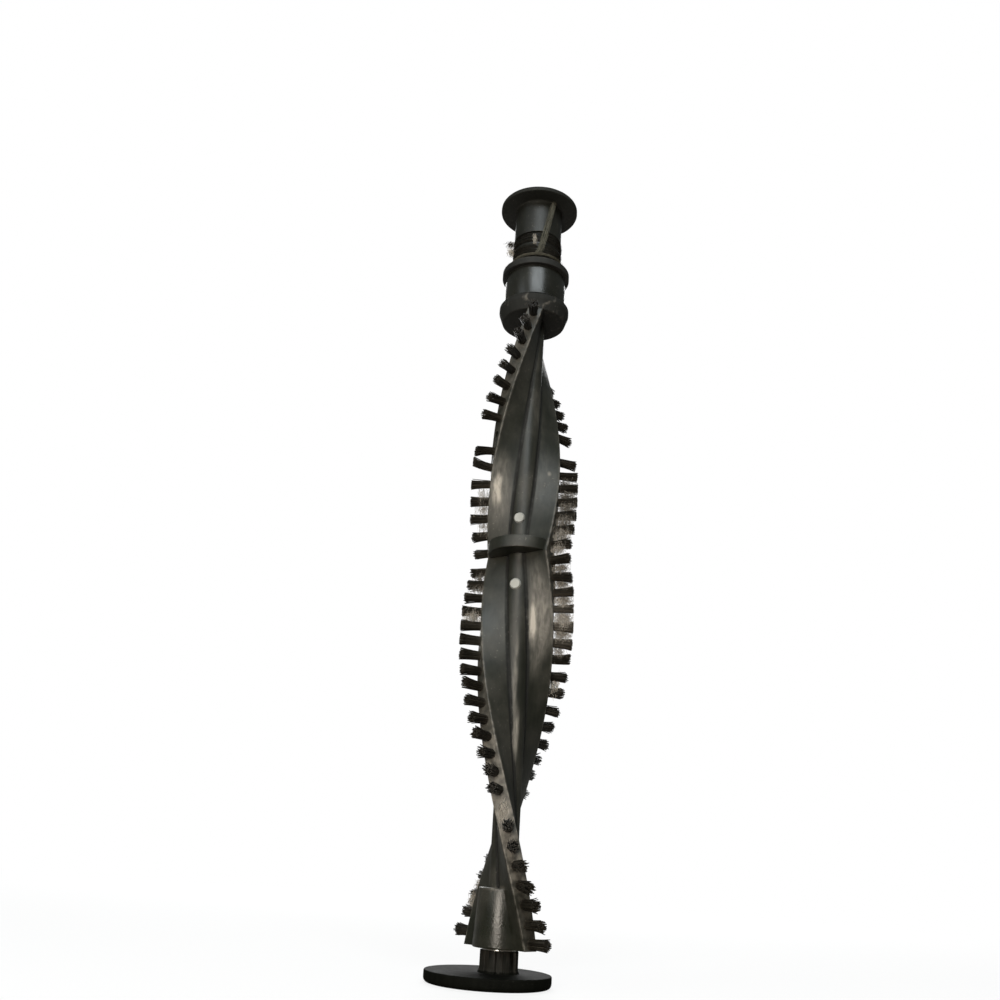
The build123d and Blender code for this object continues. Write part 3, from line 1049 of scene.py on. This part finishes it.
@dataclass
class CaughtThreads:
    """Thread and hair wound round the drive end."""

    name: str
    wraps: tuple[Wrap, ...]
    finish: Fibre
    seed: int
    radius: float = 0.055
    stations: int = 90
    sides: int = 4

    def build(self) -> bpy.types.Object:
        """Hairs about smooth paths.

        Angle, radius and height each pass through their own numbers by a smoothed straight run. A hair keeps
        a place of its own across the lock, which is widest halfway, and strays from it by a slow wave.
        """
        draw = np.random.default_rng(self.seed)
        surface, shades = Surface(), []
        for wrap in self.wraps:
            angle, radius, height = (self._run(values) for values in (wrap.angles, wrap.radii, wrap.heights))
            angle = np.radians(angle - 90)
            wobble = draw.normal(0, 0.12, 4)
            t = np.linspace(0, 1, self.stations)
            height = height + wobble[0] * np.sin(9 * t + wobble[1] * 20) + wobble[2] * np.sin(17 * t)
            each = (3, wrap.hairs, 1)
            stray = draw.normal(0, 0.4, each)
            stray = stray * np.sin(draw.uniform(3, 11, each) * t + draw.uniform(0, 6, each))
            place = draw.uniform(-1, 1, (wrap.hairs, 1)) * wrap.spread * (0.55 + 0.45 * np.sin(np.pi * t))
            out = radius + np.abs(stray[0]) + draw.random((wrap.hairs, 1)) * 0.3
            turned = angle + (place + stray[1]) / radius
            rise = height + place * 0.4 + stray[2]
            path = np.stack([out * np.cos(turned), out * np.sin(turned), rise], axis=-1) * MM
            surface.tubes(tube(path, self.radius * MM, self.sides, np.array([0.2, 0.1, 1.0])))
            shade = np.clip(wrap.darkness + draw.normal(0, 0.2, wrap.hairs), 0, 1)
            shades.append(np.repeat(shade, (self.stations + 2) * self.sides))
        piece = surface.build(self.name, {"strand": np.concatenate(shades)})
        return dress(piece, self.finish, Body.ROLL)

    def _run(self, values: Sequence[float]) -> Array:
        """Numbers spread evenly over the stations, with corners softened by a moving mean."""
        line = np.interp(np.linspace(0, 1, self.stations), np.linspace(0, 1, len(values)), values)
        window = 11
        padded = np.pad(line, window // 2, mode="edge")
        return np.convolve(padded, np.full(window, 1 / window), mode="valid")


# Drive pulley, end caps and pins


@dataclass
class DrivePulley:
    """Groove, crowned belt drum, ring flange, journal and nose, from the CAD node's top down. Sizes in mm."""

    finish: DustyPlastic
    node: str = "drive_pulley"
    groove: float = 11.6
    groove_width: float = 1.5
    drum: float = 12.4
    drum_width: float = DRUM_WIDTH
    crown: float = 0.3
    ring: float = 14.1
    ring_thickness: float = RING_THICKNESS
    journal: float = JOURNAL_RADIUS
    journal_length: float = JOURNAL_LENGTH
    nose: float = 4.3
    nose_length: float = NOSE_LENGTH
    bore: float = SHAFT_BORE
    edge: float = 0.3

    def build(self) -> bpy.types.Object:
        """Turn the outline: the drum's crown is a parabola across its width."""
        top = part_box(self.node)[1].z / MM
        shoulder = top - self.nose_length
        ring_top = shoulder - self.journal_length
        ring_low = ring_top - self.ring_thickness
        drum_low = ring_low - self.drum_width
        low = drum_low - self.groove_width
        t = np.linspace(-1, 1, 15)
        crowned = self.drum + self.crown * (1 - t**2)
        face = np.column_stack([crowned, drum_low + (t + 1) / 2 * self.drum_width])
        lower = [(self.bore, low), (self.groove, low), (self.groove, drum_low), (self.drum, drum_low)]
        upper = [
            (self.drum, ring_low),
            (self.ring, ring_low),
            (self.ring, ring_top),
            (self.journal, ring_top),
            (self.journal, shoulder),
            (self.nose, shoulder),
            (self.nose, top),
            (self.bore, top),
        ]
        outline = np.concatenate(
            [
                rounded(lower, [0.1, 0.1]),
                face * MM,
                rounded(upper, [self.edge, self.edge, 0.25, self.edge, 0.1, 0.1]),
            ]
        )
        piece = Surface().grid(lathe(outline), close_rows=True).build("drive_pulley_shell")
        return dress(piece, self.finish, Body.ROLL, [self.node])


@dataclass
class UpperEndCap:
    """Flanged sleeve over the bearing, from the CAD node's top down. Sizes in mm."""

    finish: DustyPlastic
    node: str = "upper_end_cap"
    sleeve: float = 10.02
    seat: float = 8.52
    seat_length: float = 9.1
    shoulder: float = 7.2
    flange: float = 16.55
    flange_thickness: float = FLANGE_THICKNESS
    edge: float = 0.5

    def build(self) -> bpy.types.Object:
        """Turn the outline from the middle of the flange down inside the sleeve and up its outside."""
        low, high = (corner.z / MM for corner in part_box(self.node))
        under = high - self.flange_thickness
        step = low + self.seat_length
        corners = [
            (0, under),
            (self.shoulder, under),
            (self.shoulder, step),
            (self.seat, step),
            (self.seat, low),
            (self.sleeve, low),
            (self.sleeve, under),
            (self.flange, under),
            (self.flange, high),
            (0, high),
        ]
        radii = [0.2, 0.1, 0.1, 0.2, 0.3, 0.9, self.edge, self.edge]
        piece = Surface().grid(lathe(rounded(corners, radii))).build("upper_end_cap_shell")
        return dress(piece, self.finish, Body.UPPER_CAP, [self.node])


@dataclass
class LowerEndCap:
    """Off-centre end plate with a ribbed boss and a blind bore. Sizes in mm."""

    finish: DustyPlastic
    node: str = "lower_end_cap"
    plate: float = 20.9
    thickness: float = 3.8
    under_round: float = 1.8
    top_round: float = 0.5
    boss: float = 6.5
    rib_count: int = 8
    rib_width: float = 2.6
    rib_depth: float = 0.9
    bore: float = 4.27
    floor: float = 2.0

    def plate_grid(self) -> Array:
        """Turned plate with a round under edge and a soft top edge, moved off the roll's axis."""
        low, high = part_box(self.node)
        corners = [(0, 0), (self.plate, 0), (self.plate, self.thickness), (0, self.thickness)]
        grid = lathe(rounded(corners, [self.under_round, self.top_round], 8), 180)
        grid[..., 0] += (low.x + high.x) / 2
        return grid

    def boss_grid(self) -> Array:
        """Round boss whose radius swells at each rib.

        The radius is the boss's less the rib depth, plus the depth times a smooth step of the distance from
        the nearest rib's middle. The foot flares a little into the plate.
        """
        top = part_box(self.node)[1].z / MM
        angle = np.linspace(0, 2 * np.pi, 256, endpoint=False)
        spacing = 2 * np.pi / self.rib_count
        aside = np.abs((angle % spacing) - spacing / 2) * self.boss
        step = np.clip((self.rib_width / 2 + 0.25 - aside) / 0.5, 0, 1)
        swell = self.boss - self.rib_depth * (1 - step**2 * (3 - 2 * step))
        foot, flare = self.thickness - 0.4, self.thickness + 0.9
        corners = [(0, foot), (1.12, foot), (1.0, flare), (1.0, top), (0, top)]
        outline = rounded(corners, [0.0, 0.7, 0.12], 6) / MM
        share, height = outline[:, :1], outline[:, 1:]
        radius = share * swell[None]
        return np.stack([radius * np.cos(angle), radius * np.sin(angle), height + 0 * radius], axis=-1) * MM

    def build(self) -> bpy.types.Object:
        """Join boss and plate, and cut the bore."""
        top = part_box(self.node)[1].z
        piece = Surface().grid(self.plate_grid()).build("lower_end_cap_shell")
        combine(piece, Surface().grid(self.boss_grid()).build("boss_part"), Solid.JOIN)
        shaft = np.array([[[0, 0, self.floor * MM], [0, 0, top + 1 * MM]]])
        bore = tube(shaft, self.bore * MM, 64, ACROSS)
        combine(piece, Surface().tubes(bore).build("bore_cutter"), Solid.CUT)
        return dress(piece, self.finish, Body.LOWER_CAP, [self.node])


# Stage, light and camera


def stand(name: str, data: bpy.types.ID, axes: Sequence[Array], place: Array) -> bpy.types.Object:
    """Link an object with its own three axes and its place given in metres."""
    matrix = np.eye(4)
    matrix[:3, :3] = np.column_stack(axes)
    matrix[:3, 3] = place
    item = bpy.data.objects.new(name, data)
    item.matrix_world = Matrix(matrix.tolist())
    bpy.context.scene.collection.objects.link(item)
    return item


@dataclass(frozen=True)
class Camera:
    """Camera of the photograph: place in mm, upward tilt and sideways lean in degrees, focus in pixels."""

    place: tuple[float, float, float] = (-9.22, -343.29, 35.80)
    tilt: float = 21.129
    lean: float = 3.667
    focal_pixels: float = 947.9
    image_pixels: float = 1000.0
    sensor: float = 36.0

    def build(self) -> bpy.types.Object:
        """Make it the scene's camera. Its axes are the photograph's right, up and backward directions."""
        tilt, lean = math.radians(self.tilt), math.radians(self.lean)
        forward = np.array([0, math.cos(tilt), math.sin(tilt)])
        plain_up = np.array([0, -math.sin(tilt), math.cos(tilt)])
        right = ACROSS * math.cos(lean) + plain_up * math.sin(lean)
        up = plain_up * math.cos(lean) - ACROSS * math.sin(lean)
        data = bpy.data.cameras.new("photo_camera")
        data.sensor_fit = "HORIZONTAL"
        data.sensor_width = self.sensor
        data.lens = self.sensor * self.focal_pixels / self.image_pixels
        data.clip_start, data.clip_end = 0.01, 100.0
        camera = stand("photo_camera", data, [right, up, -forward], np.array(self.place) * MM)
        bpy.context.scene.camera = camera
        return camera


@dataclass(frozen=True)
class SoftBox:
    """A rectangular studio light: angles seen from the roll in degrees, sizes in metres."""

    name: str
    azimuth: float
    elevation: float
    distance: float
    width: float
    height: float
    power: float
    colour: Colour
    aim: float = 0.16

    def build(self) -> bpy.types.Object:
        """Hang the light and point it at a height on the roll's axis."""
        turn, rise = math.radians(self.azimuth), math.radians(self.elevation)
        away = np.array([math.sin(turn) * math.cos(rise), -math.cos(turn) * math.cos(rise), math.sin(rise)])
        side = np.array([math.cos(turn), math.sin(turn), 0.0])
        data = bpy.data.lights.new(self.name, "AREA")
        data.shape = "RECTANGLE"
        data.size, data.size_y = self.width, self.height
        data.energy = self.power
        data.color = self.colour
        axes = [side, np.cross(away, side), away]
        light = stand(self.name, data, axes, away * self.distance + UP * self.aim)
        light.visible_camera = False
        return light


@dataclass(frozen=True)
class Studio:
    """Pale floor, soft surroundings and lights."""

    boxes: tuple[SoftBox, ...]
    floor_half: float = 30.0
    floor_glow: float = 0.80
    fade_start: float = 0.25
    fade_end: float = 0.9
    bounce_front: float = -0.05
    bounce_back: float = 0.15
    floor_bounce: Colour = (0.13, 0.11, 0.09)
    back_bounce: Colour = (0.36, 0.35, 0.33)
    above: Colour = (0.115, 0.125, 0.12)
    below: Colour = (0.075, 0.065, 0.052)

    def build(self) -> None:
        """Set colour handling, floor, surroundings and lights."""
        bpy.context.scene.view_settings.view_transform = "Standard"
        self._floor()
        self._surroundings()
        for box in self.boxes:
            box.build()

    def _floor(self) -> None:
        """Flat floor at z = 0: pale to the eye, white far off. It returns a warm grey, more of it behind."""
        side = np.array([-self.floor_half, self.floor_half])
        x, y = np.meshgrid(side, side)
        floor = Surface().grid(np.stack([x, y, 0 * x], axis=-1), close_columns=False).build("studio_floor")
        if floor.data.polygons[0].normal.z < 0:
            floor.data.flip_normals()
        material = bpy.data.materials.new("pale_floor")
        material.use_nodes = True
        graph = Graph(material.node_tree)
        seen = graph.add("ShaderNodeLightPath", output="Is Camera Ray")
        paper = graph.add("ShaderNodeBsdfDiffuse", inputs={"Color": WHITE})
        glow = graph.add("ShaderNodeEmission", inputs={"Color": WHITE, "Strength": 1.0})
        place = graph.place()
        far = graph.length(place).ease(self.fade_start, self.fade_end)
        share = far * (1 - self.floor_glow) + self.floor_glow
        pale = graph.add("ShaderNodeMixShader", inputs={0: share, 1: paper, 2: glow})
        behind = graph.parts(place)[1].ease(self.bounce_front, self.bounce_back)
        returned = graph.blend(rgba(self.floor_bounce), rgba(self.back_bounce), behind)
        bounce = graph.add("ShaderNodeBsdfDiffuse", inputs={"Color": returned})
        graph.output(graph.add("ShaderNodeMixShader", inputs={0: seen, 1: bounce, 2: pale}))
        floor.data.materials.append(material)

    def _surroundings(self) -> None:
        """White to the eye. For light it is cool above and warm and dim below."""
        world = bpy.data.worlds.new("studio")
        world.use_nodes = True
        bpy.context.scene.world = world
        graph = Graph(world.node_tree)
        seen = graph.add("ShaderNodeLightPath", output="Is Camera Ray")
        height = graph.parts(graph.add("ShaderNodeTexCoord", output="Generated"))[2]
        light = graph.blend(rgba(self.below), rgba(self.above), height.ease(-0.5, 0.8))
        colour = graph.blend(light, WHITE, seen)
        graph.output(graph.add("ShaderNodeBackground", inputs={"Color": colour}), "ShaderNodeOutputWorld")


# This brush roll


PLASTIC: Colour = (0.0150, 0.0164, 0.0110)
# Darker copies of PLASTIC, as painted shade: the drive end's pulley and cap at about two thirds, the lower
# end cap at about a third.
SHADED_CAP_PLASTIC: Colour = (0.0095, 0.0102, 0.0072)
SHADED_PLATE_PLASTIC: Colour = (0.0046, 0.0050, 0.0036)
ROWS = {
    node: TuftRow.read(node)
    for node in (
        "lower_bristle_row_left",
        "lower_bristle_row_right",
        "upper_bristle_row_left",
        "upper_bristle_row_right",
    )
}
TUFT_WEAR: dict[str, dict[float, TuftWear]] = {
    "lower_bristle_row_left": {},
    "lower_bristle_row_right": {125.5: TuftWear.SPARSE},
    "upper_bristle_row_left": {181.0: TuftWear.BENT_UP, 187.4: TuftWear.BENT_DOWN},
    "upper_bristle_row_right": {},
}
LEFT, RIGHT = 0.0, math.pi


def build_halves() -> None:
    """Both brush halves with their collars and hub."""
    lower_rows = (ROWS["lower_bristle_row_left"], ROWS["lower_bristle_row_right"])
    upper_rows = (ROWS["upper_bristle_row_left"], ROWS["upper_bristle_row_right"])
    hub_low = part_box("lower_brush_half")[0].z / MM
    seam, end = (corner.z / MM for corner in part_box("upper_brush_half"))
    collar_low, rim_low = end - END_COLLAR_LENGTH, end - END_COLLAR_RIM
    lower_finish = WingPlastic(
        "lower_half_plastic",
        PLASTIC,
        roughness=0.48,
        specular=0.5,
        twist=lower_rows[0].twist(),
        film=0.075,
        land_dust=0.10,
        dusty_low=34.0,
        dusty_high=72.0,
        dusty_land=0.22,
        patches=(
            # Dust that also paints the warm light and highlights on the right wing's face.
            DustAndLightPatch((5.6, -3.0, 121.0), (1.9, 4.0, 13.0), 1.3),
            DustAndLightPatch((8.6, -3.5, 122.0), (6.5, 5.0, 42.0), 0.40),
            DustAndLightPatch((8.6, -4.5, 102.0), (5.5, 5.0, 20.0), 0.30),
            # Dust that also paints a highlight along the core's ridge.
            DustAndLightPatch((1.5, -4.5, 80.0), (1.8, 1.6, 13.0), 0.55),
            DustAndLightPatch((0.3, -4.7, 101.0), (1.3, 1.6, 20.0), 0.35),
            # Dust that also paints warm light on the right wing's face.
            DustAndLightPatch((7.5, -3.5, 140.0), (6.0, 6.0, 12.0), 0.30),
            DustAndLightPatch((-1.2, -12.2, 52.2), (3.2, 6.0, 4.0), 1.0),
            DustAndLightPatch((-4.0, -7.0, hub_low + HUB_LENGTH + 0.1), (8.0, 5.0, 1.3), 0.3),
        ),
        bands=(Band(hub_low, hub_low + HUB_LENGTH - 0.4, polish=0.17, scuff=3.0),),
    )
    upper_finish = WingPlastic(
        "upper_half_plastic",
        PLASTIC,
        roughness=0.48,
        specular=0.5,
        twist=upper_rows[0].twist(),
        film=0.075,
        land_dust=0.08,
        patches=(
            # Dust that also paints the warm light and a highlight on the left wing's face.
            DustAndLightPatch((-10.6, -3.0, 171.5), (2.8, 5.0, 9.0), 1.4),
            DustAndLightPatch((-9.6, -3.0, 172.0), (5.5, 6.0, 24.0), 0.30),
            # Dust that also paints the cool light on the right wing's face.
            DustAndLightPatch((9.4, -3.2, 180.0), (1.2, 4.0, 1.6), 0.4),
            DustAndLightPatch((7.0, -3.2, 186.0), (7.0, 5.0, 14.0), 0.06),
            DustAndLightPatch((6.0, -4.5, 206.0), (6.0, 7.0, 16.0), 0.20),
        ),
        # Painted shade on the end collar's underside: less dust, and darker and duller plastic.
        bands=(Band(collar_low, end, dust=-0.12, polish=-0.05, shade_darkening=0.75),),
    )
    hub = ring_outline(hub_low, hub_low + HUB_LENGTH, 9.1, 7.9, 0.5)
    lower_parts = (hub,)
    BrushHalf("lower_brush_half", lower_rows, lower_finish, lower_parts, "lower_half_pin", 0.05, 0.0).build()
    seam_collar = ring_outline(seam, seam + 4.7, 12.5, 12.5, 0.35)
    taper = [(0, collar_low), (12.9, collar_low), (14.45, rim_low), (14.45, end), (0, end)]
    upper_parts = (seam_collar, rounded(taper, [0.5, 0.3, 0.4]))
    BrushHalf("upper_brush_half", upper_rows, upper_finish, upper_parts, "upper_half_pin", 0.05, 1.0).build()


def build_bristles() -> None:
    """The four rows of tufts."""
    nylon = BristleNylon(
        "bristle_filament",
        (0.012, 0.0105, 0.0075),
        roughness=0.42,
        specular=0.35,
        patches=(
            DustAndLightPatch((17.0, -1.0, 122.0), (9.0, 9.0, 15.0), 0.6),
            DustAndLightPatch((17.0, -4.0, 99.0), (6.0, 9.0, 5.0), 0.5),
            DustAndLightPatch((-17.0, 1.0, 121.0), (7.0, 9.0, 5.0), 0.3),
        ),
    )
    for seed, (node, row) in enumerate(ROWS.items()):
        BristleRow(row, nylon, 11 + seed, TUFT_WEAR[node]).build()


def pulley_ring_top() -> float:
    """Height in mm where the pulley's ring ends and its journal begins."""
    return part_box("drive_pulley")[1].z / MM - NOSE_LENGTH - JOURNAL_LENGTH


def build_drive_end() -> None:
    """Pulley and upper end cap."""
    ring_top = pulley_ring_top()
    drum_low = ring_top - RING_THICKNESS - DRUM_WIDTH
    pulley = DustyPlastic(
        "belt_polished_plastic",
        SHADED_CAP_PLASTIC,
        roughness=0.40,
        specular=0.5,
        film=0.02,
        specks=0.05,
        turning=0.08,
        bands=(
            Band(drum_low + 0.6, drum_low + DRUM_WIDTH - 0.7, polish=0.11),
            # Painted shade on the ring's face: darker and duller plastic.
            Band(ring_top - RING_THICKNESS, ring_top - 0.3, polish=-0.1, shade_darkening=0.6),
            # Dust at the ring's top edge and the journal's foot, which also paints a highlight along that
            # edge.
            Band(ring_top - 0.2, ring_top + 1.6, dust=0.10),
        ),
    )
    DrivePulley(pulley).build()
    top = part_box("upper_end_cap")[1].z / MM
    cap = DustyPlastic(
        "upper_cap_plastic",
        SHADED_CAP_PLASTIC,
        roughness=0.45,
        film=0.012,
        turning=0.06,
        # Painted shade on the flange and its underside: less dust, and rougher.
        bands=(Band(top - FLANGE_THICKNESS - 0.6, top, polish=-0.3, dust=-0.02),),
    )
    UpperEndCap(cap).build()


def build_lower_end() -> None:
    """Lower end cap."""
    plastic = DustyPlastic(
        "lower_cap_plastic",
        SHADED_PLATE_PLASTIC,
        roughness=0.75,
        specular=0.05,
        film=0.004,
        specks=0.03,
        # Dust on the boss, which also paints light on its ribs.
        bands=(Band(4.6, 10.4, dust=0.045, polish=0.3),),
    )
    LowerEndCap(plastic).build()


def in_row(
    twist: Twist,
    turn: float,
    height: float,
    fibres: int,
    outer: float,
    darkness: float,
    inner: float = 13.3,
) -> LintClump:
    """A clump over a wing's land, at a height in mm."""
    return LintClump(height, twist.angle(height * MM) + turn, inner, outer, fibres, darkness)


def build_lint() -> None:
    """Lint between the tufts, and hair and thread round the drive end."""
    fibre = Fibre("lint_fibre", (0.50, 0.46, 0.40), 0.9, specular=0.1, dark=(0.03, 0.027, 0.021))
    hair = Fibre("dark_hair", (0.06, 0.055, 0.042), 0.6, specular=0.3, dark=(0.008, 0.007, 0.005))
    thread = Fibre("grey_thread", (0.17, 0.165, 0.13), 0.85, specular=0.1, dark=(0.014, 0.013, 0.010))
    lower, upper = ROWS["lower_bristle_row_left"].twist(), ROWS["upper_bristle_row_left"].twist()
    on_lower = (
        in_row(lower, RIGHT, 140.0, 170, 19.5, 0.5),
        in_row(lower, RIGHT, 134.3, 160, 19.5, 0.45),
        in_row(lower, RIGHT, 128.4, 220, 20.0, 0.25),
        in_row(lower, RIGHT, 122.6, 260, 20.4, 0.15),
        in_row(lower, RIGHT, 116.8, 200, 20.0, 0.25),
        in_row(lower, RIGHT, 111.0, 90, 18.5, 0.4),
        in_row(lower, RIGHT, 99.3, 120, 18.5, 0.0),
        in_row(lower, RIGHT, 29.2, 110, 20.4, 0.3, 15.5),
        in_row(lower, RIGHT, 23.4, 110, 20.4, 0.25, 15.5),
        in_row(lower, LEFT, 138.4, 90, 19.0, 0.7),
        in_row(lower, LEFT, 132.6, 90, 19.0, 0.6),
        in_row(lower, LEFT, 120.9, 170, 19.5, 0.2),
        in_row(lower, LEFT, 53.2, 420, 14.4, 0.0, 12.2),
    )
    on_upper = (
        in_row(upper, RIGHT, 147.0, 190, 19.5, 0.35),
        in_row(upper, RIGHT, 152.2, 190, 19.5, 0.45),
        in_row(upper, RIGHT, 158.6, 200, 19.8, 0.65),
        in_row(upper, RIGHT, 165.0, 200, 19.8, 0.7),
        in_row(upper, RIGHT, 171.4, 180, 19.5, 0.75),
        in_row(upper, RIGHT, 177.8, 120, 18.5, 0.8),
        in_row(upper, LEFT, 158.6, 60, 18.5, 0.4),
        in_row(upper, LEFT, 165.0, 80, 18.5, 0.35),
        in_row(upper, LEFT, 171.4, 50, 18.0, 0.4),
    )
    Lint("lint_lower_half", on_lower, fibre, 31).build()
    Lint("lint_upper_half", on_upper, fibre, 32).build()
    journal_low = pulley_ring_top()
    sleeve_low, flange = (corner.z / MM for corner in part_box("upper_end_cap"))
    flange -= FLANGE_THICKNESS
    on_journal = (
        LintClump(sleeve_low - 1.6, math.radians(186), 9.2, 13.4, 110, 1.0),
        LintClump(sleeve_low - 4.4, math.radians(183), 9.2, 12.6, 150, 0.05),
        LintClump(journal_low + 2.2, math.radians(178), 10.0, 13.0, 40, 0.95),
        LintClump(sleeve_low - 5.0, math.radians(-99), 10.0, 11.6, 70, 0.1),
    )
    Lint("lint_journal", on_journal, fibre, 34, width=1.1, depth=1.5).build()
    WoundHair("wound_hair", journal_low, sleeve_low - 0.4, hair, 35).build()
    near_low = journal_low + 3.4
    strand = Wrap(
        (31, 26, 18, 10, 3, -2),
        (11.3, 10.7, 10.6, 10.6, 10.7, 10.7),
        (flange - 0.6, flange - 7, flange - 14, flange - 22, near_low + 1.6, near_low),
        40,
        1.3,
        0.3,
    )
    turns = Wrap(
        (12, -20, -80, -260, -420),
        (10.8, 10.8, 10.7, 10.6, 10.7),
        (near_low + 0.9, near_low, near_low - 0.4, near_low + 0.6, near_low),
        22,
        0.45,
        0.2,
    )
    CaughtThreads("caught_threads", (strand, turns), thread, 33).build()


def dress_inner_nodes() -> None:
    """Finishes of the CAD nodes that stay as they are: shaft, bush, washer, bearing, clip and pins."""
    steel = Finish("bright_turned_steel", (0.62, 0.62, 0.59), roughness=0.3, metallic=1.0, specular=0.5)
    race = Finish("ground_race_steel", (0.5, 0.5, 0.49), roughness=0.25, metallic=1.0, specular=0.5)
    bronze = Finish("sintered_bronze", (0.42, 0.27, 0.13), roughness=0.5, metallic=1.0, specular=0.5)
    pin = Finish("dull_pin_zinc", (0.42, 0.42, 0.39), roughness=0.5, metallic=0.5, specular=0.5)
    finishes = {
        "axle_shaft": steel,
        "lower_thrust_washer": steel,
        "shaft_clip": steel,
        "lower_half_pin": pin,
        "upper_half_pin": pin,
        "lower_bush": bronze,
        "bearing_inner_ring": race,
        "bearing_outer_ring": race,
        "bearing_shield_lower": race,
        "bearing_shield_upper": race,
    }
    for node, finish in finishes.items():
        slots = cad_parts[node].data.materials
        slots.clear()
        slots.append(finish.material())
        LOG.info("%s: %s", node, finish.name)


def build_studio() -> None:
    """Camera, floor and lights."""
    Camera().build()
    Studio(
        (
            SoftBox("warm_front", -17.0, 0.0, 0.7, 0.24, 0.20, 3.2, (1.0, 0.91, 0.80), 0.12),
            SoftBox("cool_high", 3.0, 38.0, 0.95, 0.60, 0.36, 5.2, (0.90, 0.97, 1.0), 0.17),
            SoftBox("cool_left", -50.0, 20.0, 1.1, 0.4, 0.5, 1.2, (0.86, 0.95, 1.0)),
            SoftBox("back", 180.0, 28.0, 1.3, 0.9, 0.9, 16.0, (1.0, 1.0, 1.0)),
        )
    ).build()


def main() -> None:
    """Build every piece in order."""
    logging.basicConfig(level=logging.INFO, format="%(name)s %(message)s")
    build_studio()
    build_lower_end()
    build_halves()
    build_bristles()
    build_drive_end()
    build_lint()
    dress_inner_nodes()


if __name__ == "__main__":
    main()
